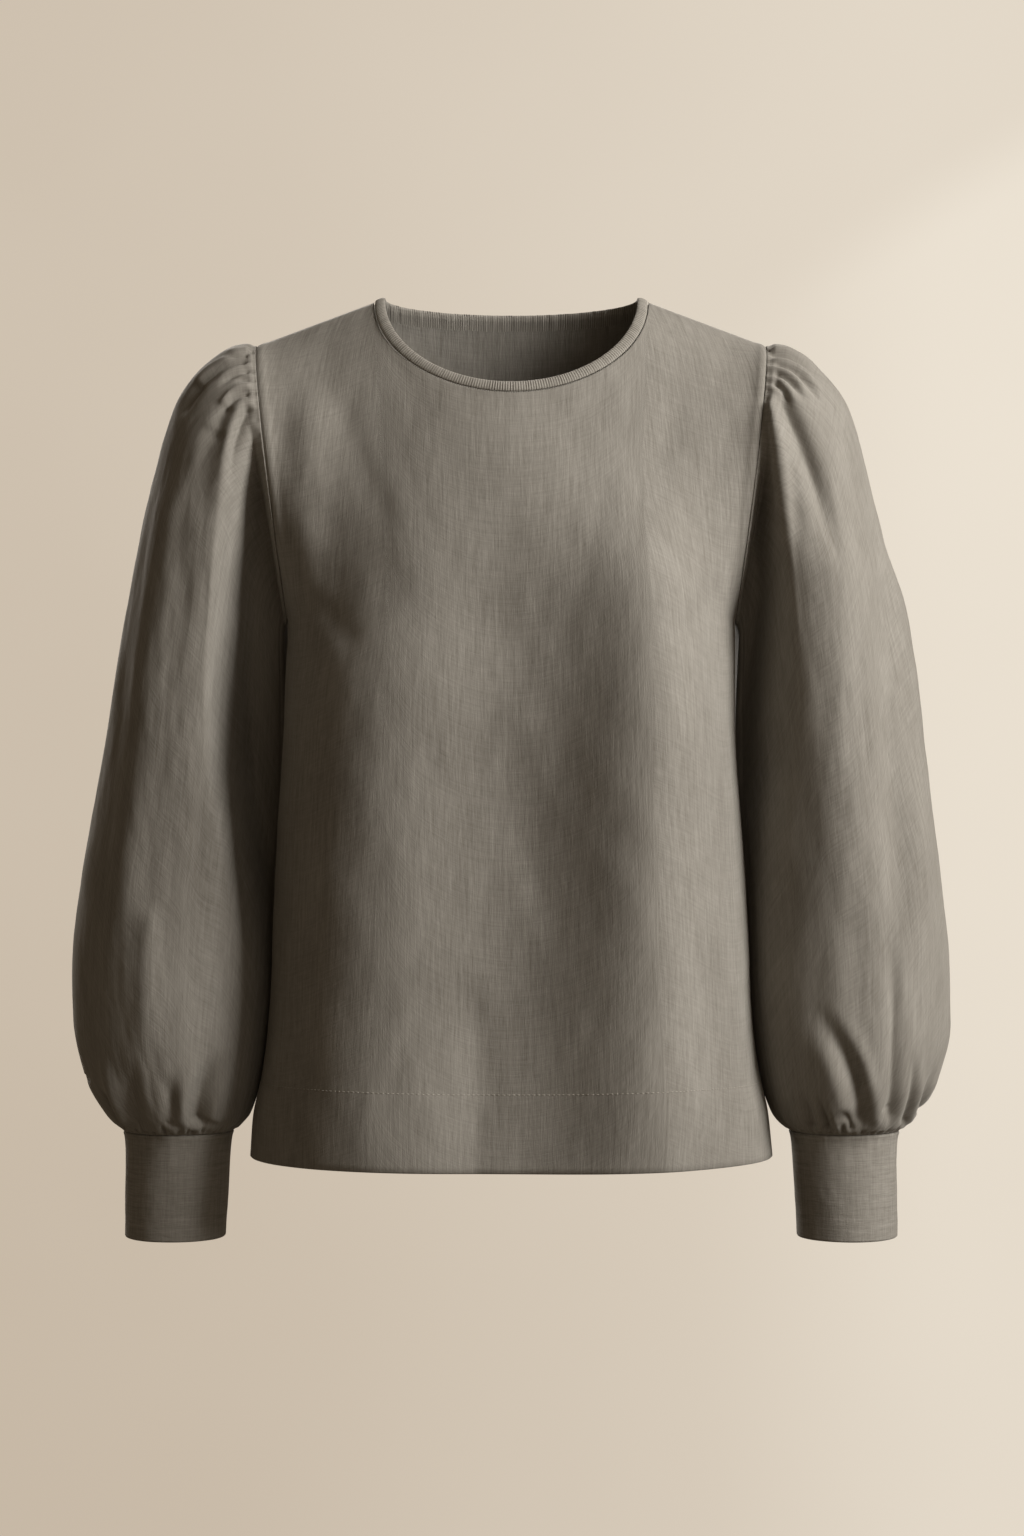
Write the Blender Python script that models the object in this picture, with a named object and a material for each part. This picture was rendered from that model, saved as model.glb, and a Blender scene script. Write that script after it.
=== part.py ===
"""Puff sleeve blouse: a pullover blouse of linen, filled out as if worn, with nothing inside.

Metres, +Z up. The front faces -Y and +X is the wearer's left. The origin is the middle of the
neck opening at the height of the shoulder seams' inner ends, where the wearer carries the cloth.
"""

import bmesh
import bpy
import numpy as np

# Cloth
CLOTH_WALL = 0.0020
CUFF_WALL = 0.0026
ROUND_EDGE = 0.0008
BINDING_WALL = 0.0030
SEAM_GAP = 0.0003
NECK_SEAM_GAP = 0.00045

# Neck, as half of an ellipse at the front and another at the back
NECK_HALF_WIDTH = 0.0907
NECK_DROP = {"front": 0.0670, "back": 0.0070}
BINDING_WIDTH = 0.0072
BINDING_PROUD = 0.0005

# Shoulder seam's outer end and the underarm point, as x and z
TIP_X, TIP_Z = 0.1830, -0.0345
UNDERARM_X, UNDERARM_Z = 0.1600, -0.2320
ARMHOLE_REACH = {"front": 0.058, "back": 0.052}
SHOULDER_SLOPE = -TIP_Z / (TIP_X - NECK_HALF_WIDTH)
ARMHOLE_TALL = np.hypot(TIP_X - UNDERARM_X, TIP_Z - UNDERARM_Z)
ARMHOLE_OUTWARD = np.array([TIP_Z - UNDERARM_Z, 0.0, UNDERARM_X - TIP_X]) / ARMHOLE_TALL

# Body
HEM_Z = -0.6160
TORSO_ROUNDNESS = 2.3
SIDE_SEAM = {
    # height and half-width of the body at the side seams
    "z": (-0.616, -0.584, -0.558, -0.530, -0.493, -0.419, -0.383, -0.332, -0.289, -0.232),
    "half_width": (0.1868, 0.1836, 0.1778, 0.1735, 0.1703, 0.1678, 0.1652, 0.1614, 0.1600, 0.1600),
}
TORSO = {
    # drop below the shoulder line, and how far the cloth stands forward and back of it
    "drop": (0.000, 0.008, 0.030, 0.060, 0.100, 0.150, 0.230, 0.300, 0.400, 0.500, 0.640),
    "front": (0.000, 0.016, 0.036, 0.052, 0.068, 0.086, 0.107, 0.112, 0.106, 0.107, 0.118),
    "back": (0.000, 0.021, 0.042, 0.056, 0.069, 0.080, 0.086, 0.084, 0.083, 0.090, 0.105),
}

# Cuffs, as plain tapered bands
CUFF_TOP = {"x": 0.2393, "y": 0.0000, "z": -0.5983, "radius": 0.0378}
CUFF_FOOT = {"x": 0.2415, "y": -0.0020, "z": -0.6730, "radius": 0.0361}
CUFF_FLARE = 0.0018

# Grid densities
NECK_SPANS = 8
SHOULDER_SPANS = 5
ARMHOLE_SPANS = 9
SIDE_SPANS = 8
SLEEVE_SPANS = 88
COLUMN_CROWDING = 0.28
TUCK_ANGLE = np.radians(112)
CUFF_SPANS = 40
BINDING_SPANS = 4 * NECK_SPANS

# Sleeve rings from the armhole down to the cuff. Each ring leans from its outer point to its inner
# point, reaches forward and back of them, and hangs a little behind the shoulder at the elbow.
# outer x, outer z, inner x, inner z, front, back, behind
SLEEVE_RINGS = (
    (0.1830, -0.0345, 0.1600, -0.2320, 0.0580, 0.0520, 0.0000),
    (0.1945, -0.0350, 0.1626, -0.2370, 0.0620, 0.0560, 0.0005),
    (0.2190, -0.0486, 0.1638, -0.2440, 0.0690, 0.0620, 0.0025),
    (0.2425, -0.0774, 0.1636, -0.2540, 0.0745, 0.0650, 0.0060),
    (0.2576, -0.1264, 0.1630, -0.2720, 0.0790, 0.0660, 0.0100),
    (0.2725, -0.1960, 0.1622, -0.3020, 0.0820, 0.0660, 0.0150),
    (0.2880, -0.2780, 0.1622, -0.3460, 0.0840, 0.0660, 0.0190),
    (0.3010, -0.3560, 0.1645, -0.3980, 0.0850, 0.0670, 0.0210),
    (0.3120, -0.4180, 0.1675, -0.4440, 0.0850, 0.0680, 0.0200),
    (0.3176, -0.4760, 0.1695, -0.4880, 0.0830, 0.0680, 0.0170),
    (0.3165, -0.5200, 0.1735, -0.5260, 0.0780, 0.0660, 0.0120),
    (0.3070, -0.5600, 0.1800, -0.5620, 0.0670, 0.0600, 0.0060),
    (0.2920, -0.5850, 0.1885, -0.5860, 0.0530, 0.0500, 0.0020),
    (0.2789, -0.5980, 0.1997, -0.5980, 0.0396, 0.0396, 0.0000),
)
# Beside the body the sleeve's front is tucked back, inward of a soft edge: by height, how far out
# the edge lies and how much of the depth there is tucked away.
SLEEVE_TUCK = {
    "z": (-0.530, -0.480, -0.434, -0.387, -0.331, -0.290, -0.232, -0.165, -0.107, -0.080),
    "out": (0.158, 0.166, 0.177, 0.186, 0.194, 0.195, 0.192, 0.186, 0.181, 0.178),
    "share": (0.00, 0.30, 0.62, 0.80, 0.84, 0.82, 0.74, 0.50, 0.18, 0.00),
}
# Where the tuck starts outside its edge, over what run it deepens, and how slowly it sets in, each
# below and above the heights where it changes
TUCK_SWEEP = {
    "left": {"start": (0.018, 0.014), "run": (0.050, 0.026), "power": (2.0, 1.0)},
    "right": {"start": (0.021, 0.021), "run": (0.030, 0.030), "power": (1.0, 1.0)},
}
SWEEP_CHANGE = (-0.310, -0.200)
# Behind the body's side the sleeve leans in again: by height, how far.
SLEEVE_LEAN = {
    "z": (-0.500, -0.440, -0.380, -0.320, -0.270, -0.245, -0.228),
    "inward": (0.000, 0.006, 0.010, 0.012, 0.013, 0.012, 0.000),
}

# Gathers: how many would go right round, how tall they are, how far they run in from the seam,
# how uneven they are, how much of them shows at the seam itself, and over what run they swell.
# Those of the sleeve cap stay within its half-angle of the shoulder seam.
CUFF_GATHERS = {
    "count": 24, "height": 0.0019, "run": 0.030, "drift": 0.55, "at_seam": 0.45, "swell": 0.010,
}
CAP_GATHERS = {
    "count": 26, "height": 0.0016, "run": 0.028, "drift": 0.70, "at_seam": 0.0, "swell": 0.012,
}
CAP_HALF_ANGLE = np.radians(100)
CAP_FADE = 0.4
# Folds rise from nothing at the armhole, stay low along the underarm, and fade at their two ends
ARMHOLE_REST = 0.010
UNDERARM_REST = {"from": 0.80, "over": 0.15, "share": 0.8}
FOLD_ENDS = {"start": 0.25, "end": 0.15}
FRONT_BLEND = 2.5

# Folds, as seen square on: start, middle and end as distance out and height, then the half-width
# of the fold and its height. A height below zero is a valley.
# out 1, z 1, out 2, z 2, out 3, z 3, half-width, height
SLEEVE_FOLDS = {
    ("left", "front"): (
        (0.184, -0.045, 0.204, -0.049, 0.220, -0.061, 0.0045, -0.0035),
        (0.191, -0.056, 0.209, -0.067, 0.221, -0.087, 0.0045, -0.0025),
        (0.184, -0.070, 0.206, -0.122, 0.229, -0.208, 0.0065, -0.0055),
        (0.225, -0.160, 0.234, -0.330, 0.236, -0.460, 0.0210, 0.0070),
        (0.266, -0.230, 0.270, -0.360, 0.272, -0.500, 0.0100, -0.0030),
        (0.274, -0.170, 0.289, -0.370, 0.291, -0.520, 0.0120, 0.0065),
        (0.219, -0.520, 0.239, -0.552, 0.248, -0.583, 0.0085, 0.0035),
        (0.241, -0.523, 0.249, -0.545, 0.250, -0.566, 0.0050, -0.0040),
        (0.274, -0.534, 0.275, -0.563, 0.271, -0.591, 0.0045, -0.0035),
        (0.301, -0.552, 0.296, -0.570, 0.291, -0.584, 0.0045, -0.0025),
    ),
    ("right", "front"): (
        (0.211, -0.056, 0.230, -0.075, 0.241, -0.108, 0.0050, -0.0030),
        (0.244, -0.130, 0.258, -0.270, 0.270, -0.390, 0.0090, 0.0040),
        (0.268, -0.370, 0.284, -0.470, 0.289, -0.540, 0.0085, 0.0035),
        (0.256, -0.170, 0.268, -0.280, 0.279, -0.390, 0.0080, -0.0030),
        (0.183, -0.088, 0.192, -0.105, 0.197, -0.138, 0.0045, -0.0040),
        (0.293, -0.567, 0.287, -0.581, 0.275, -0.596, 0.0045, -0.0035),
        (0.264, -0.553, 0.262, -0.574, 0.263, -0.594, 0.0045, -0.0030),
        (0.203, -0.538, 0.218, -0.568, 0.222, -0.587, 0.0055, -0.0050),
    ),
    ("left", "back"): (
        (0.190, -0.110, 0.206, -0.260, 0.200, -0.430, 0.0095, -0.0075),
        (0.230, -0.130, 0.252, -0.320, 0.262, -0.500, 0.0110, -0.0040),
        (0.285, -0.330, 0.294, -0.430, 0.284, -0.540, 0.0090, -0.0030),
        (0.222, -0.520, 0.230, -0.560, 0.232, -0.594, 0.0050, -0.0040),
        (0.268, -0.535, 0.262, -0.566, 0.258, -0.592, 0.0050, -0.0035),
    ),
    ("right", "back"): (
        (0.188, -0.100, 0.201, -0.250, 0.196, -0.410, 0.0095, -0.0070),
        (0.238, -0.150, 0.246, -0.310, 0.266, -0.480, 0.0110, -0.0040),
        (0.276, -0.290, 0.292, -0.410, 0.292, -0.530, 0.0090, -0.0030),
        (0.214, -0.530, 0.224, -0.562, 0.228, -0.594, 0.0050, -0.0040),
        (0.276, -0.530, 0.270, -0.562, 0.264, -0.592, 0.0050, -0.0035),
    ),
}
# x 1, z 1, x 2, z 2, x 3, z 3, half-width, height
PANEL_FOLDS = {
    "front": (
        (0.014, -0.140, 0.018, -0.380, 0.014, -0.700, 0.0450, -0.0030),
        (0.092, -0.110, 0.095, -0.380, 0.100, -0.700, 0.0380, 0.0285),
        (0.058, -0.300, 0.058, -0.480, 0.058, -0.740, 0.0300, 0.0050),
        (-0.076, -0.200, -0.072, -0.430, -0.068, -0.700, 0.0380, 0.0035),
        (-0.120, -0.200, -0.118, -0.430, -0.122, -0.740, 0.0320, 0.0060),
        (-0.140, -0.060, -0.144, -0.150, -0.138, -0.260, 0.0150, 0.0045),
    ),
    "back": (
        (-0.062, -0.220, -0.070, -0.420, -0.078, -0.640, 0.0240, -0.0036),
        (0.000, -0.260, 0.004, -0.450, 0.002, -0.640, 0.0260, 0.0034),
        (0.058, -0.240, 0.064, -0.430, 0.074, -0.640, 0.0230, -0.0034),
        (0.118, -0.340, 0.128, -0.480, 0.138, -0.640, 0.0220, 0.0034),
        (-0.122, -0.330, -0.130, -0.480, -0.140, -0.640, 0.0220, 0.0032),
    ),
}

LINEN_COLOUR = (0.195, 0.172, 0.142)
BINDING_COLOUR = (0.215, 0.190, 0.158)
LINEN_ROUGHNESS = 0.92


def smooth_step(share):
    """0 to 1 with level ends."""
    share = np.clip(share, 0.0, 1.0)
    return share * share * (3.0 - 2.0 * share)


def smooth_reading(at, knots, values):
    """A smooth curve through the knots that never swings past them."""
    knots = np.asarray(knots, float)
    values = np.asarray(values, float)
    steps = np.diff(knots)
    slopes = np.diff(values) / steps
    tangents = np.concatenate([slopes[:1], np.zeros(len(slopes) - 1), slopes[-1:]])
    rising = slopes[:-1] * slopes[1:] > 0
    before = slopes[:-1][rising]
    after = slopes[1:][rising]
    tangents[1:-1][rising] = 2.0 * before * after / (before + after)
    at = np.clip(at, knots[0], knots[-1])
    span = np.clip(np.searchsorted(knots, at) - 1, 0, len(steps) - 1)
    step = steps[span]
    share = (at - knots[span]) / step
    rest = 1.0 - share
    low = values[span] * (1.0 + 2.0 * share) + tangents[span] * step * share
    high = values[span + 1] * (1.0 + 2.0 * rest) - tangents[span + 1] * step * rest
    return low * rest**2 + high * share**2


def unit(vectors):
    return vectors / np.linalg.norm(vectors, axis=-1, keepdims=True)


def fold_heights(across, height, folds):
    """The summed height of the folds at each place, as the cloth is seen square on."""
    total = np.zeros_like(across)
    steps = np.linspace(0.0, 1.0, 25)
    for out1, z1, out2, z2, out3, z3, half_width, rise in folds:
        bend_out = 2.0 * out2 - 0.5 * (out1 + out3)
        bend_z = 2.0 * z2 - 0.5 * (z1 + z3)
        line_out = (1 - steps) ** 2 * out1 + 2 * steps * (1 - steps) * bend_out + steps**2 * out3
        line_z = (1 - steps) ** 2 * z1 + 2 * steps * (1 - steps) * bend_z + steps**2 * z3
        away = np.stack([across[..., None] - line_out, height[..., None] - line_z])
        nearest = np.linalg.norm(away, axis=0).argmin(axis=-1)
        away = np.take_along_axis(away, nearest[None, ..., None], axis=-1)[..., 0]
        run = np.stack([np.gradient(line_out)[nearest], np.gradient(line_z)[nearest]])
        step_length = np.linalg.norm(run, axis=0)
        past = (away * run).sum(axis=0) / step_length
        at_end = (nearest == 0) | (nearest == len(steps) - 1)
        past = np.where(at_end, np.clip(past, -0.5 * step_length, 0.5 * step_length), past)
        apart = np.sqrt(np.maximum((away**2).sum(axis=0) - past**2, 0.0))
        along = np.clip(steps[nearest] + past / step_length * steps[1], 0.0, 1.0)
        ends = smooth_step(along / FOLD_ENDS["start"])
        ends *= smooth_step((1.0 - along) / FOLD_ENDS["end"])
        total += rise * ends * np.exp(-((apart / half_width) ** 2))
    return total


def shoulder_height(x):
    """Height of the shoulder line, carried on level across the neck opening."""
    out = np.abs(x) - NECK_HALF_WIDTH
    inside = np.minimum(out, 0.0)
    return -SHOULDER_SLOPE * (out + 0.5 * inside**2 / NECK_HALF_WIDTH)


def side_reach(z):
    """Half-width of the body at a height: the armhole's chord, and below it the side seam."""
    chord = UNDERARM_X + (z - UNDERARM_Z) * (TIP_X - UNDERARM_X) / (TIP_Z - UNDERARM_Z)
    seam = smooth_reading(z, SIDE_SEAM["z"], SIDE_SEAM["half_width"])
    return np.where(z > UNDERARM_Z, chord, seam)


def torso_depth(side, x, z):
    """How far the panel's face stands from the plane of the shoulder and side seams."""
    top = shoulder_height(x)
    drop = np.maximum(top - z, 1e-6)
    above = z > UNDERARM_Z
    level = np.where(above, TIP_Z - drop * (TIP_Z - UNDERARM_Z) / (top - UNDERARM_Z), z)
    middle_z = 0.5 * (TIP_Z + UNDERARM_Z)
    place = np.clip((level - middle_z) / (TIP_Z - middle_z), -1.0, 1.0)
    share = np.clip(np.abs(x) / side_reach(level), 0.0, 1.0)
    edge = ARMHOLE_REACH[side] * (1.0 - place**2) ** (0.5 + 2.0 * (1.0 - share))
    middle = smooth_reading(np.sqrt(drop), np.sqrt(TORSO["drop"]), TORSO[side])
    closed = middle * (1.0 - share**TORSO_ROUNDNESS) ** (1.0 / TORSO_ROUNDNESS)
    return np.hypot(closed, edge * share**2)


def torso_faces(side, x, z):
    """Points on the torso's face and the directions that point out of it."""
    forward = -1.0 if side == "front" else 1.0
    reach = 0.0004
    depth = torso_depth(side, x, z)
    across = (torso_depth(side, x + reach, z) - torso_depth(side, x - reach, z)) / (2 * reach)
    upward = (depth - torso_depth(side, x, z - reach)) / reach
    points = np.stack([x, forward * (depth + 0.5 * SEAM_GAP), z], axis=-1)
    return points, unit(np.stack([-across, np.full_like(x, forward), -upward], axis=-1))


def neck_edge(side, angle, outset):
    """The neck's edge at an angle from its middle, moved outward over the cloth."""
    x = (NECK_HALF_WIDTH + outset) * np.sin(angle)
    fall = (NECK_DROP[side] + outset) * np.abs(np.cos(angle))
    return x, -fall - SHOULDER_SLOPE * outset * np.sin(angle) ** 4


def new_object(name, mesh_maker, colour):
    """One closed piece, shaded smooth, in a cloth of its own."""
    mesh = bpy.data.meshes.new(name)
    mesh_maker.to_mesh(mesh)
    mesh_maker.free()
    mesh.shade_smooth()
    mesh.set_sharp_from_angle(angle=np.radians(50))
    piece = bpy.data.objects.new(name, mesh)
    bpy.context.scene.collection.objects.link(piece)
    material = bpy.data.materials.new(name + "_cloth")
    material.use_nodes = True
    shader = material.node_tree.nodes["Principled BSDF"]
    shader.inputs["Base Color"].default_value = (*colour, 1.0)
    shader.inputs["Roughness"].default_value = LINEN_ROUGHNESS
    shader.inputs["Metallic"].default_value = 0.0
    mesh.materials.append(material)
    return piece


def cloth_shell(name, outer, inner, colour):
    """A closed shell between two grids of points, each of rows by columns.

    Where a grid's last column lies on its first, the shell is a tube.
    """
    rows, columns = outer.shape[:2]
    shell = bmesh.new()
    bmesh.ops.create_grid(shell, x_segments=columns - 1, y_segments=rows - 1, size=1.0)
    shell.verts.ensure_lookup_table()
    place = shell.verts.layers.int.new("place")
    for number, vertex in enumerate(shell.verts):
        vertex[place] = number
    flat_outer = outer.reshape(-1, 3)
    flat_inner = inner.reshape(-1, 3)
    first_side = list(shell.verts)
    made = bmesh.ops.extrude_face_region(shell, geom=list(shell.faces), use_keep_orig=True)
    for vertex in (item for item in made["geom"] if isinstance(item, bmesh.types.BMVert)):
        vertex.co = flat_inner[vertex[place]]
    for vertex in first_side:
        vertex.co = flat_outer[vertex[place]]
    if np.allclose(outer[:, 0], outer[:, -1]):
        shared = [face for face in shell.faces if ends_meet(face, place, columns)]
        bmesh.ops.delete(shell, geom=shared, context="FACES")
        bmesh.ops.remove_doubles(shell, verts=list(shell.verts), dist=1e-6)
    bmesh.ops.recalc_face_normals(shell, faces=list(shell.faces))
    return new_object(name, shell, colour)


def ends_meet(face, place, columns):
    """Whether a wall face runs along the first or the last column, where a tube joins itself."""
    numbers = {vertex[place] for vertex in face.verts}
    return len(numbers) == 2 and len({number % columns for number in numbers}) == 1


def panel(side):
    """The front or back: rows run from the neck and shoulders to the hem."""
    neck_angle = np.linspace(0.0, np.pi / 2, NECK_SPANS + 1)
    neck_x, neck_z = neck_edge(side, neck_angle, BINDING_WIDTH + NECK_SEAM_GAP)
    seam_share = np.sin(np.linspace(0.0, np.pi / 2, SHOULDER_SPANS + 1)[1:])
    seam_x = neck_x[-1] + (TIP_X - neck_x[-1]) * seam_share
    top_x = np.concatenate([neck_x, seam_x])
    top_z = np.concatenate([neck_z, shoulder_height(seam_x)])

    turn = np.linspace(0.0, np.pi, ARMHOLE_SPANS + 1)
    armhole_z = UNDERARM_Z + 0.5 * (TIP_Z - UNDERARM_Z) * (1.0 + np.cos(turn))
    seam_z = np.linspace(UNDERARM_Z, HEM_Z, SIDE_SPANS + 1)[1:]
    edge_z = np.concatenate([armhole_z, seam_z])
    down = (TIP_Z - edge_z) / (TIP_Z - HEM_Z)

    x = side_reach(edge_z)[:, None] * (top_x / TIP_X)[None, :]
    z = top_z[None, :] + down[:, None] * (HEM_Z - top_z)[None, :]
    x = np.concatenate([-x[:, :0:-1], x], axis=1)
    z = np.concatenate([z[:, :0:-1], z], axis=1)

    points, facing = torso_faces(side, x, z)
    on_seam = np.zeros(x.shape, bool)
    on_seam[ARMHOLE_SPANS:, [0, -1]] = True
    on_seam[0] = np.abs(np.arange(x.shape[1]) - len(top_x) + 1) >= NECK_SPANS
    points[on_seam, 1] = (-0.5 if side == "front" else 0.5) * SEAM_GAP
    facing[0, on_seam[0]] = unit(
        np.stack([np.sign(x[0]) * SHOULDER_SLOPE, 0 * x[0], 0 * x[0] + 1.0], axis=-1)
    )[on_seam[0]]
    facing[ARMHOLE_SPANS:, -1] = (1.0, 0.0, 0.0)
    facing[ARMHOLE_SPANS:, 0] = (-1.0, 0.0, 0.0)
    heights = fold_heights(x, z, PANEL_FOLDS[side])
    heights[:, [0, -1]] = 0.0
    outer = points + facing * heights[..., None]
    return cloth_shell(side, outer, outer - facing * CLOTH_WALL, LINEN_COLOUR)


def neck_binding():
    """A band round the neck, a little prouder than the cloth that it binds."""
    turn = np.linspace(0.0, 2 * np.pi, BINDING_SPANS + 1)
    # outset over the cloth, and height from the cloth's face
    section = (
        (BINDING_WIDTH, 0.0),
        (BINDING_WIDTH - ROUND_EDGE, BINDING_PROUD),
        (ROUND_EDGE, BINDING_PROUD),
        (0.0, BINDING_PROUD - 0.5 * BINDING_WALL),
        (ROUND_EDGE, BINDING_PROUD - BINDING_WALL),
        (BINDING_WIDTH - ROUND_EDGE, BINDING_PROUD - BINDING_WALL),
        (BINDING_WIDTH, -CLOTH_WALL),
    )
    rings = []
    for outset, height in section:
        ring = np.zeros((len(turn), 3))
        for side, here in (("front", np.cos(turn) >= 0), ("back", np.cos(turn) < 0)):
            x, z = neck_edge(side, turn[here], outset)
            points, facing = torso_faces(side, x, z)
            ring[here] = points + facing * height
        rings.append(ring)
    rings = np.array(rings)
    rings[:, -1] = rings[:, 0]
    return tube_of_sections("neck_binding", rings, BINDING_COLOUR)


def tube_of_sections(name, rings, colour):
    """A closed ring-shaped piece: each row of points goes round, and the rows close on themselves."""
    rows, columns = rings.shape[:2]
    body = bmesh.new()
    bmesh.ops.create_grid(body, x_segments=columns - 1, y_segments=rows, size=1.0)
    body.verts.ensure_lookup_table()
    closed = np.concatenate([rings, rings[:1]]).reshape(-1, 3)
    for vertex, point in zip(body.verts, closed):
        vertex.co = point
    bmesh.ops.remove_doubles(body, verts=list(body.verts), dist=1e-6)
    bmesh.ops.recalc_face_normals(body, faces=list(body.faces))
    return new_object(name, body, colour)


def gather_heights(angle, distance, gathers, phase):
    """A run of small uneven pleats round a ring, which fade with the distance from their seam."""
    drift = gathers["drift"] * (np.sin(3 * angle + phase) + np.sin(7 * angle + 2 * phase))
    at_seam = gathers["at_seam"]
    swell = at_seam + (1.0 - at_seam) * smooth_step(distance / gathers["swell"])
    fade = np.exp(-distance / gathers["run"])
    return gathers["height"] * swell * fade * np.cos(gathers["count"] * angle + drift)


def sleeve_facing(points):
    """The directions that point out of the sleeve, kept within the seam's plane at each end."""
    ring = points[:, :-1]
    round_it = np.roll(ring, -1, axis=1) - np.roll(ring, 1, axis=1)
    facing = unit(np.cross(round_it, np.gradient(ring, axis=0)))
    facing[0] = unit(facing[0] - (facing[0] @ ARMHOLE_OUTWARD)[:, None] * ARMHOLE_OUTWARD)
    facing[-1] = unit(facing[-1] * (1.0, 1.0, 0.0))
    return np.concatenate([facing, facing[:, :1]], axis=1)


def sleeve(name, outward):
    """A full sleeve on the wearer's left, where outward is 1, or right, where it is -1."""
    hand = "left" if outward > 0 else "right"
    outer_x, outer_z, inner_x, inner_z, front, back, behind = np.array(SLEEVE_RINGS).T[..., None]
    turn = np.linspace(0.0, 2 * np.pi, SLEEVE_SPANS + 1)[None, :]
    angle = turn - COLUMN_CROWDING * np.sin(turn - TUCK_ANGLE)
    reach = np.where(np.sin(angle) > 0, front, back)
    across = 0.5 * (outer_x + inner_x) + 0.5 * (outer_x - inner_x) * np.cos(angle)
    height = 0.5 * (outer_z + inner_z) + 0.5 * (outer_z - inner_z) * np.cos(angle)
    edge = smooth_reading(height, SLEEVE_TUCK["z"], SLEEVE_TUCK["out"])
    tucked = smooth_reading(height, SLEEVE_TUCK["z"], SLEEVE_TUCK["share"])
    high = smooth_step((height - SWEEP_CHANGE[0]) / (SWEEP_CHANGE[1] - SWEEP_CHANGE[0]))
    start, run, power = (low + (top - low) * high for low, top in TUCK_SWEEP[hand].values())
    tucked *= smooth_step((edge + start - across) / run) ** power
    tucked *= np.sin(angle) > 0
    tucked[0] = 0.0
    behind_body = np.sin(2 * angle) ** 2 * (np.sin(angle) < 0) * (np.cos(angle) < 0)
    across -= smooth_reading(height, SLEEVE_LEAN["z"], SLEEVE_LEAN["inward"]) * behind_body
    points = np.stack([across, behind - reach * np.sin(angle) * (1.0 - tucked), height], axis=-1)
    steps = np.linalg.norm(np.diff(points, axis=0), axis=-1)
    from_armhole = np.concatenate([np.zeros_like(steps[:1]), np.cumsum(steps, axis=0)])
    from_cuff = from_armhole[-1] - from_armhole

    in_front = smooth_step(0.5 + FRONT_BLEND * np.sin(angle))
    heights = in_front * fold_heights(points[..., 0], points[..., 2], SLEEVE_FOLDS[hand, "front"])
    heights += (1 - in_front) * fold_heights(points[..., 0], points[..., 2], SLEEVE_FOLDS[hand, "back"])

    heights += gather_heights(angle, from_cuff, CUFF_GATHERS, 1.0 + outward)
    on_cap = smooth_step((CAP_HALF_ANGLE - np.arccos(np.cos(angle))) / (CAP_FADE * CAP_HALF_ANGLE))
    heights += on_cap * gather_heights(angle, from_armhole, CAP_GATHERS, 2.0 - outward)
    heights *= smooth_step(from_armhole / ARMHOLE_REST)
    at_underarm = smooth_step((-np.cos(angle) - UNDERARM_REST["from"]) / UNDERARM_REST["over"])
    heights *= 1.0 - UNDERARM_REST["share"] * at_underarm

    outer = points + sleeve_facing(points) * heights[..., None]
    inner = outer - sleeve_facing(outer) * CLOTH_WALL
    outer[0] += SEAM_GAP * ARMHOLE_OUTWARD
    inner[0] += SEAM_GAP * ARMHOLE_OUTWARD
    for grid in (outer, inner):
        grid[..., 0] *= outward
        grid[:, -1] = grid[:, 0]
    return cloth_shell(name, outer, inner, LINEN_COLOUR)


def cuff(name, outward):
    """A closed band: its outer and inner faces, softly rounded at the foot."""
    angle = np.linspace(0.0, 2 * np.pi, CUFF_SPANS + 1)
    # share of the way down, and how far inside the outer face
    section = (
        (0.000, -CUFF_FLARE),
        (0.150, 0.0),
        (0.985, 0.0),
        (1.000, ROUND_EDGE),
        (1.000, CUFF_WALL - ROUND_EDGE),
        (0.985, CUFF_WALL),
        (0.150, CUFF_WALL),
        (0.000, CUFF_WALL - CUFF_FLARE),
    )
    rings = []
    for down, inset in section:
        x, y, z, radius = (
            CUFF_TOP[key] + down * (CUFF_FOOT[key] - CUFF_TOP[key]) for key in CUFF_TOP
        )
        radius -= inset
        ring = np.stack(
            [x + radius * np.cos(angle), y - radius * np.sin(angle), 0 * angle + z], axis=-1
        )
        rings.append(ring)
    rings = np.array(rings)
    rings[..., 0] *= outward
    rings[:, -1] = rings[:, 0]
    return tube_of_sections(name, rings, LINEN_COLOUR)


def main():
    for existing in list(bpy.data.objects):
        bpy.data.objects.remove(existing, do_unlink=True)
    panel("front")
    panel("back")
    neck_binding()
    for hand, outward in (("left", 1.0), ("right", -1.0)):
        sleeve("sleeve_" + hand, outward)
        cuff("cuff_" + hand, outward)


main()
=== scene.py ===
"""Puff sleeve blouse in washed linen, as worn, with nothing inside: its cloth, seams and studio.

Metres, and millimetres in the tables of rings and folds; +Z up. The front faces -Y and +X is the
wearer's left. Every piece of cloth is a thin sheet laid over the place of its node in the frame,
with the folds, gathers, hems and stitches of worn linen.
"""

import bmesh
import bpy
import numpy as np
from mathutils import Matrix, Vector


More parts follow.
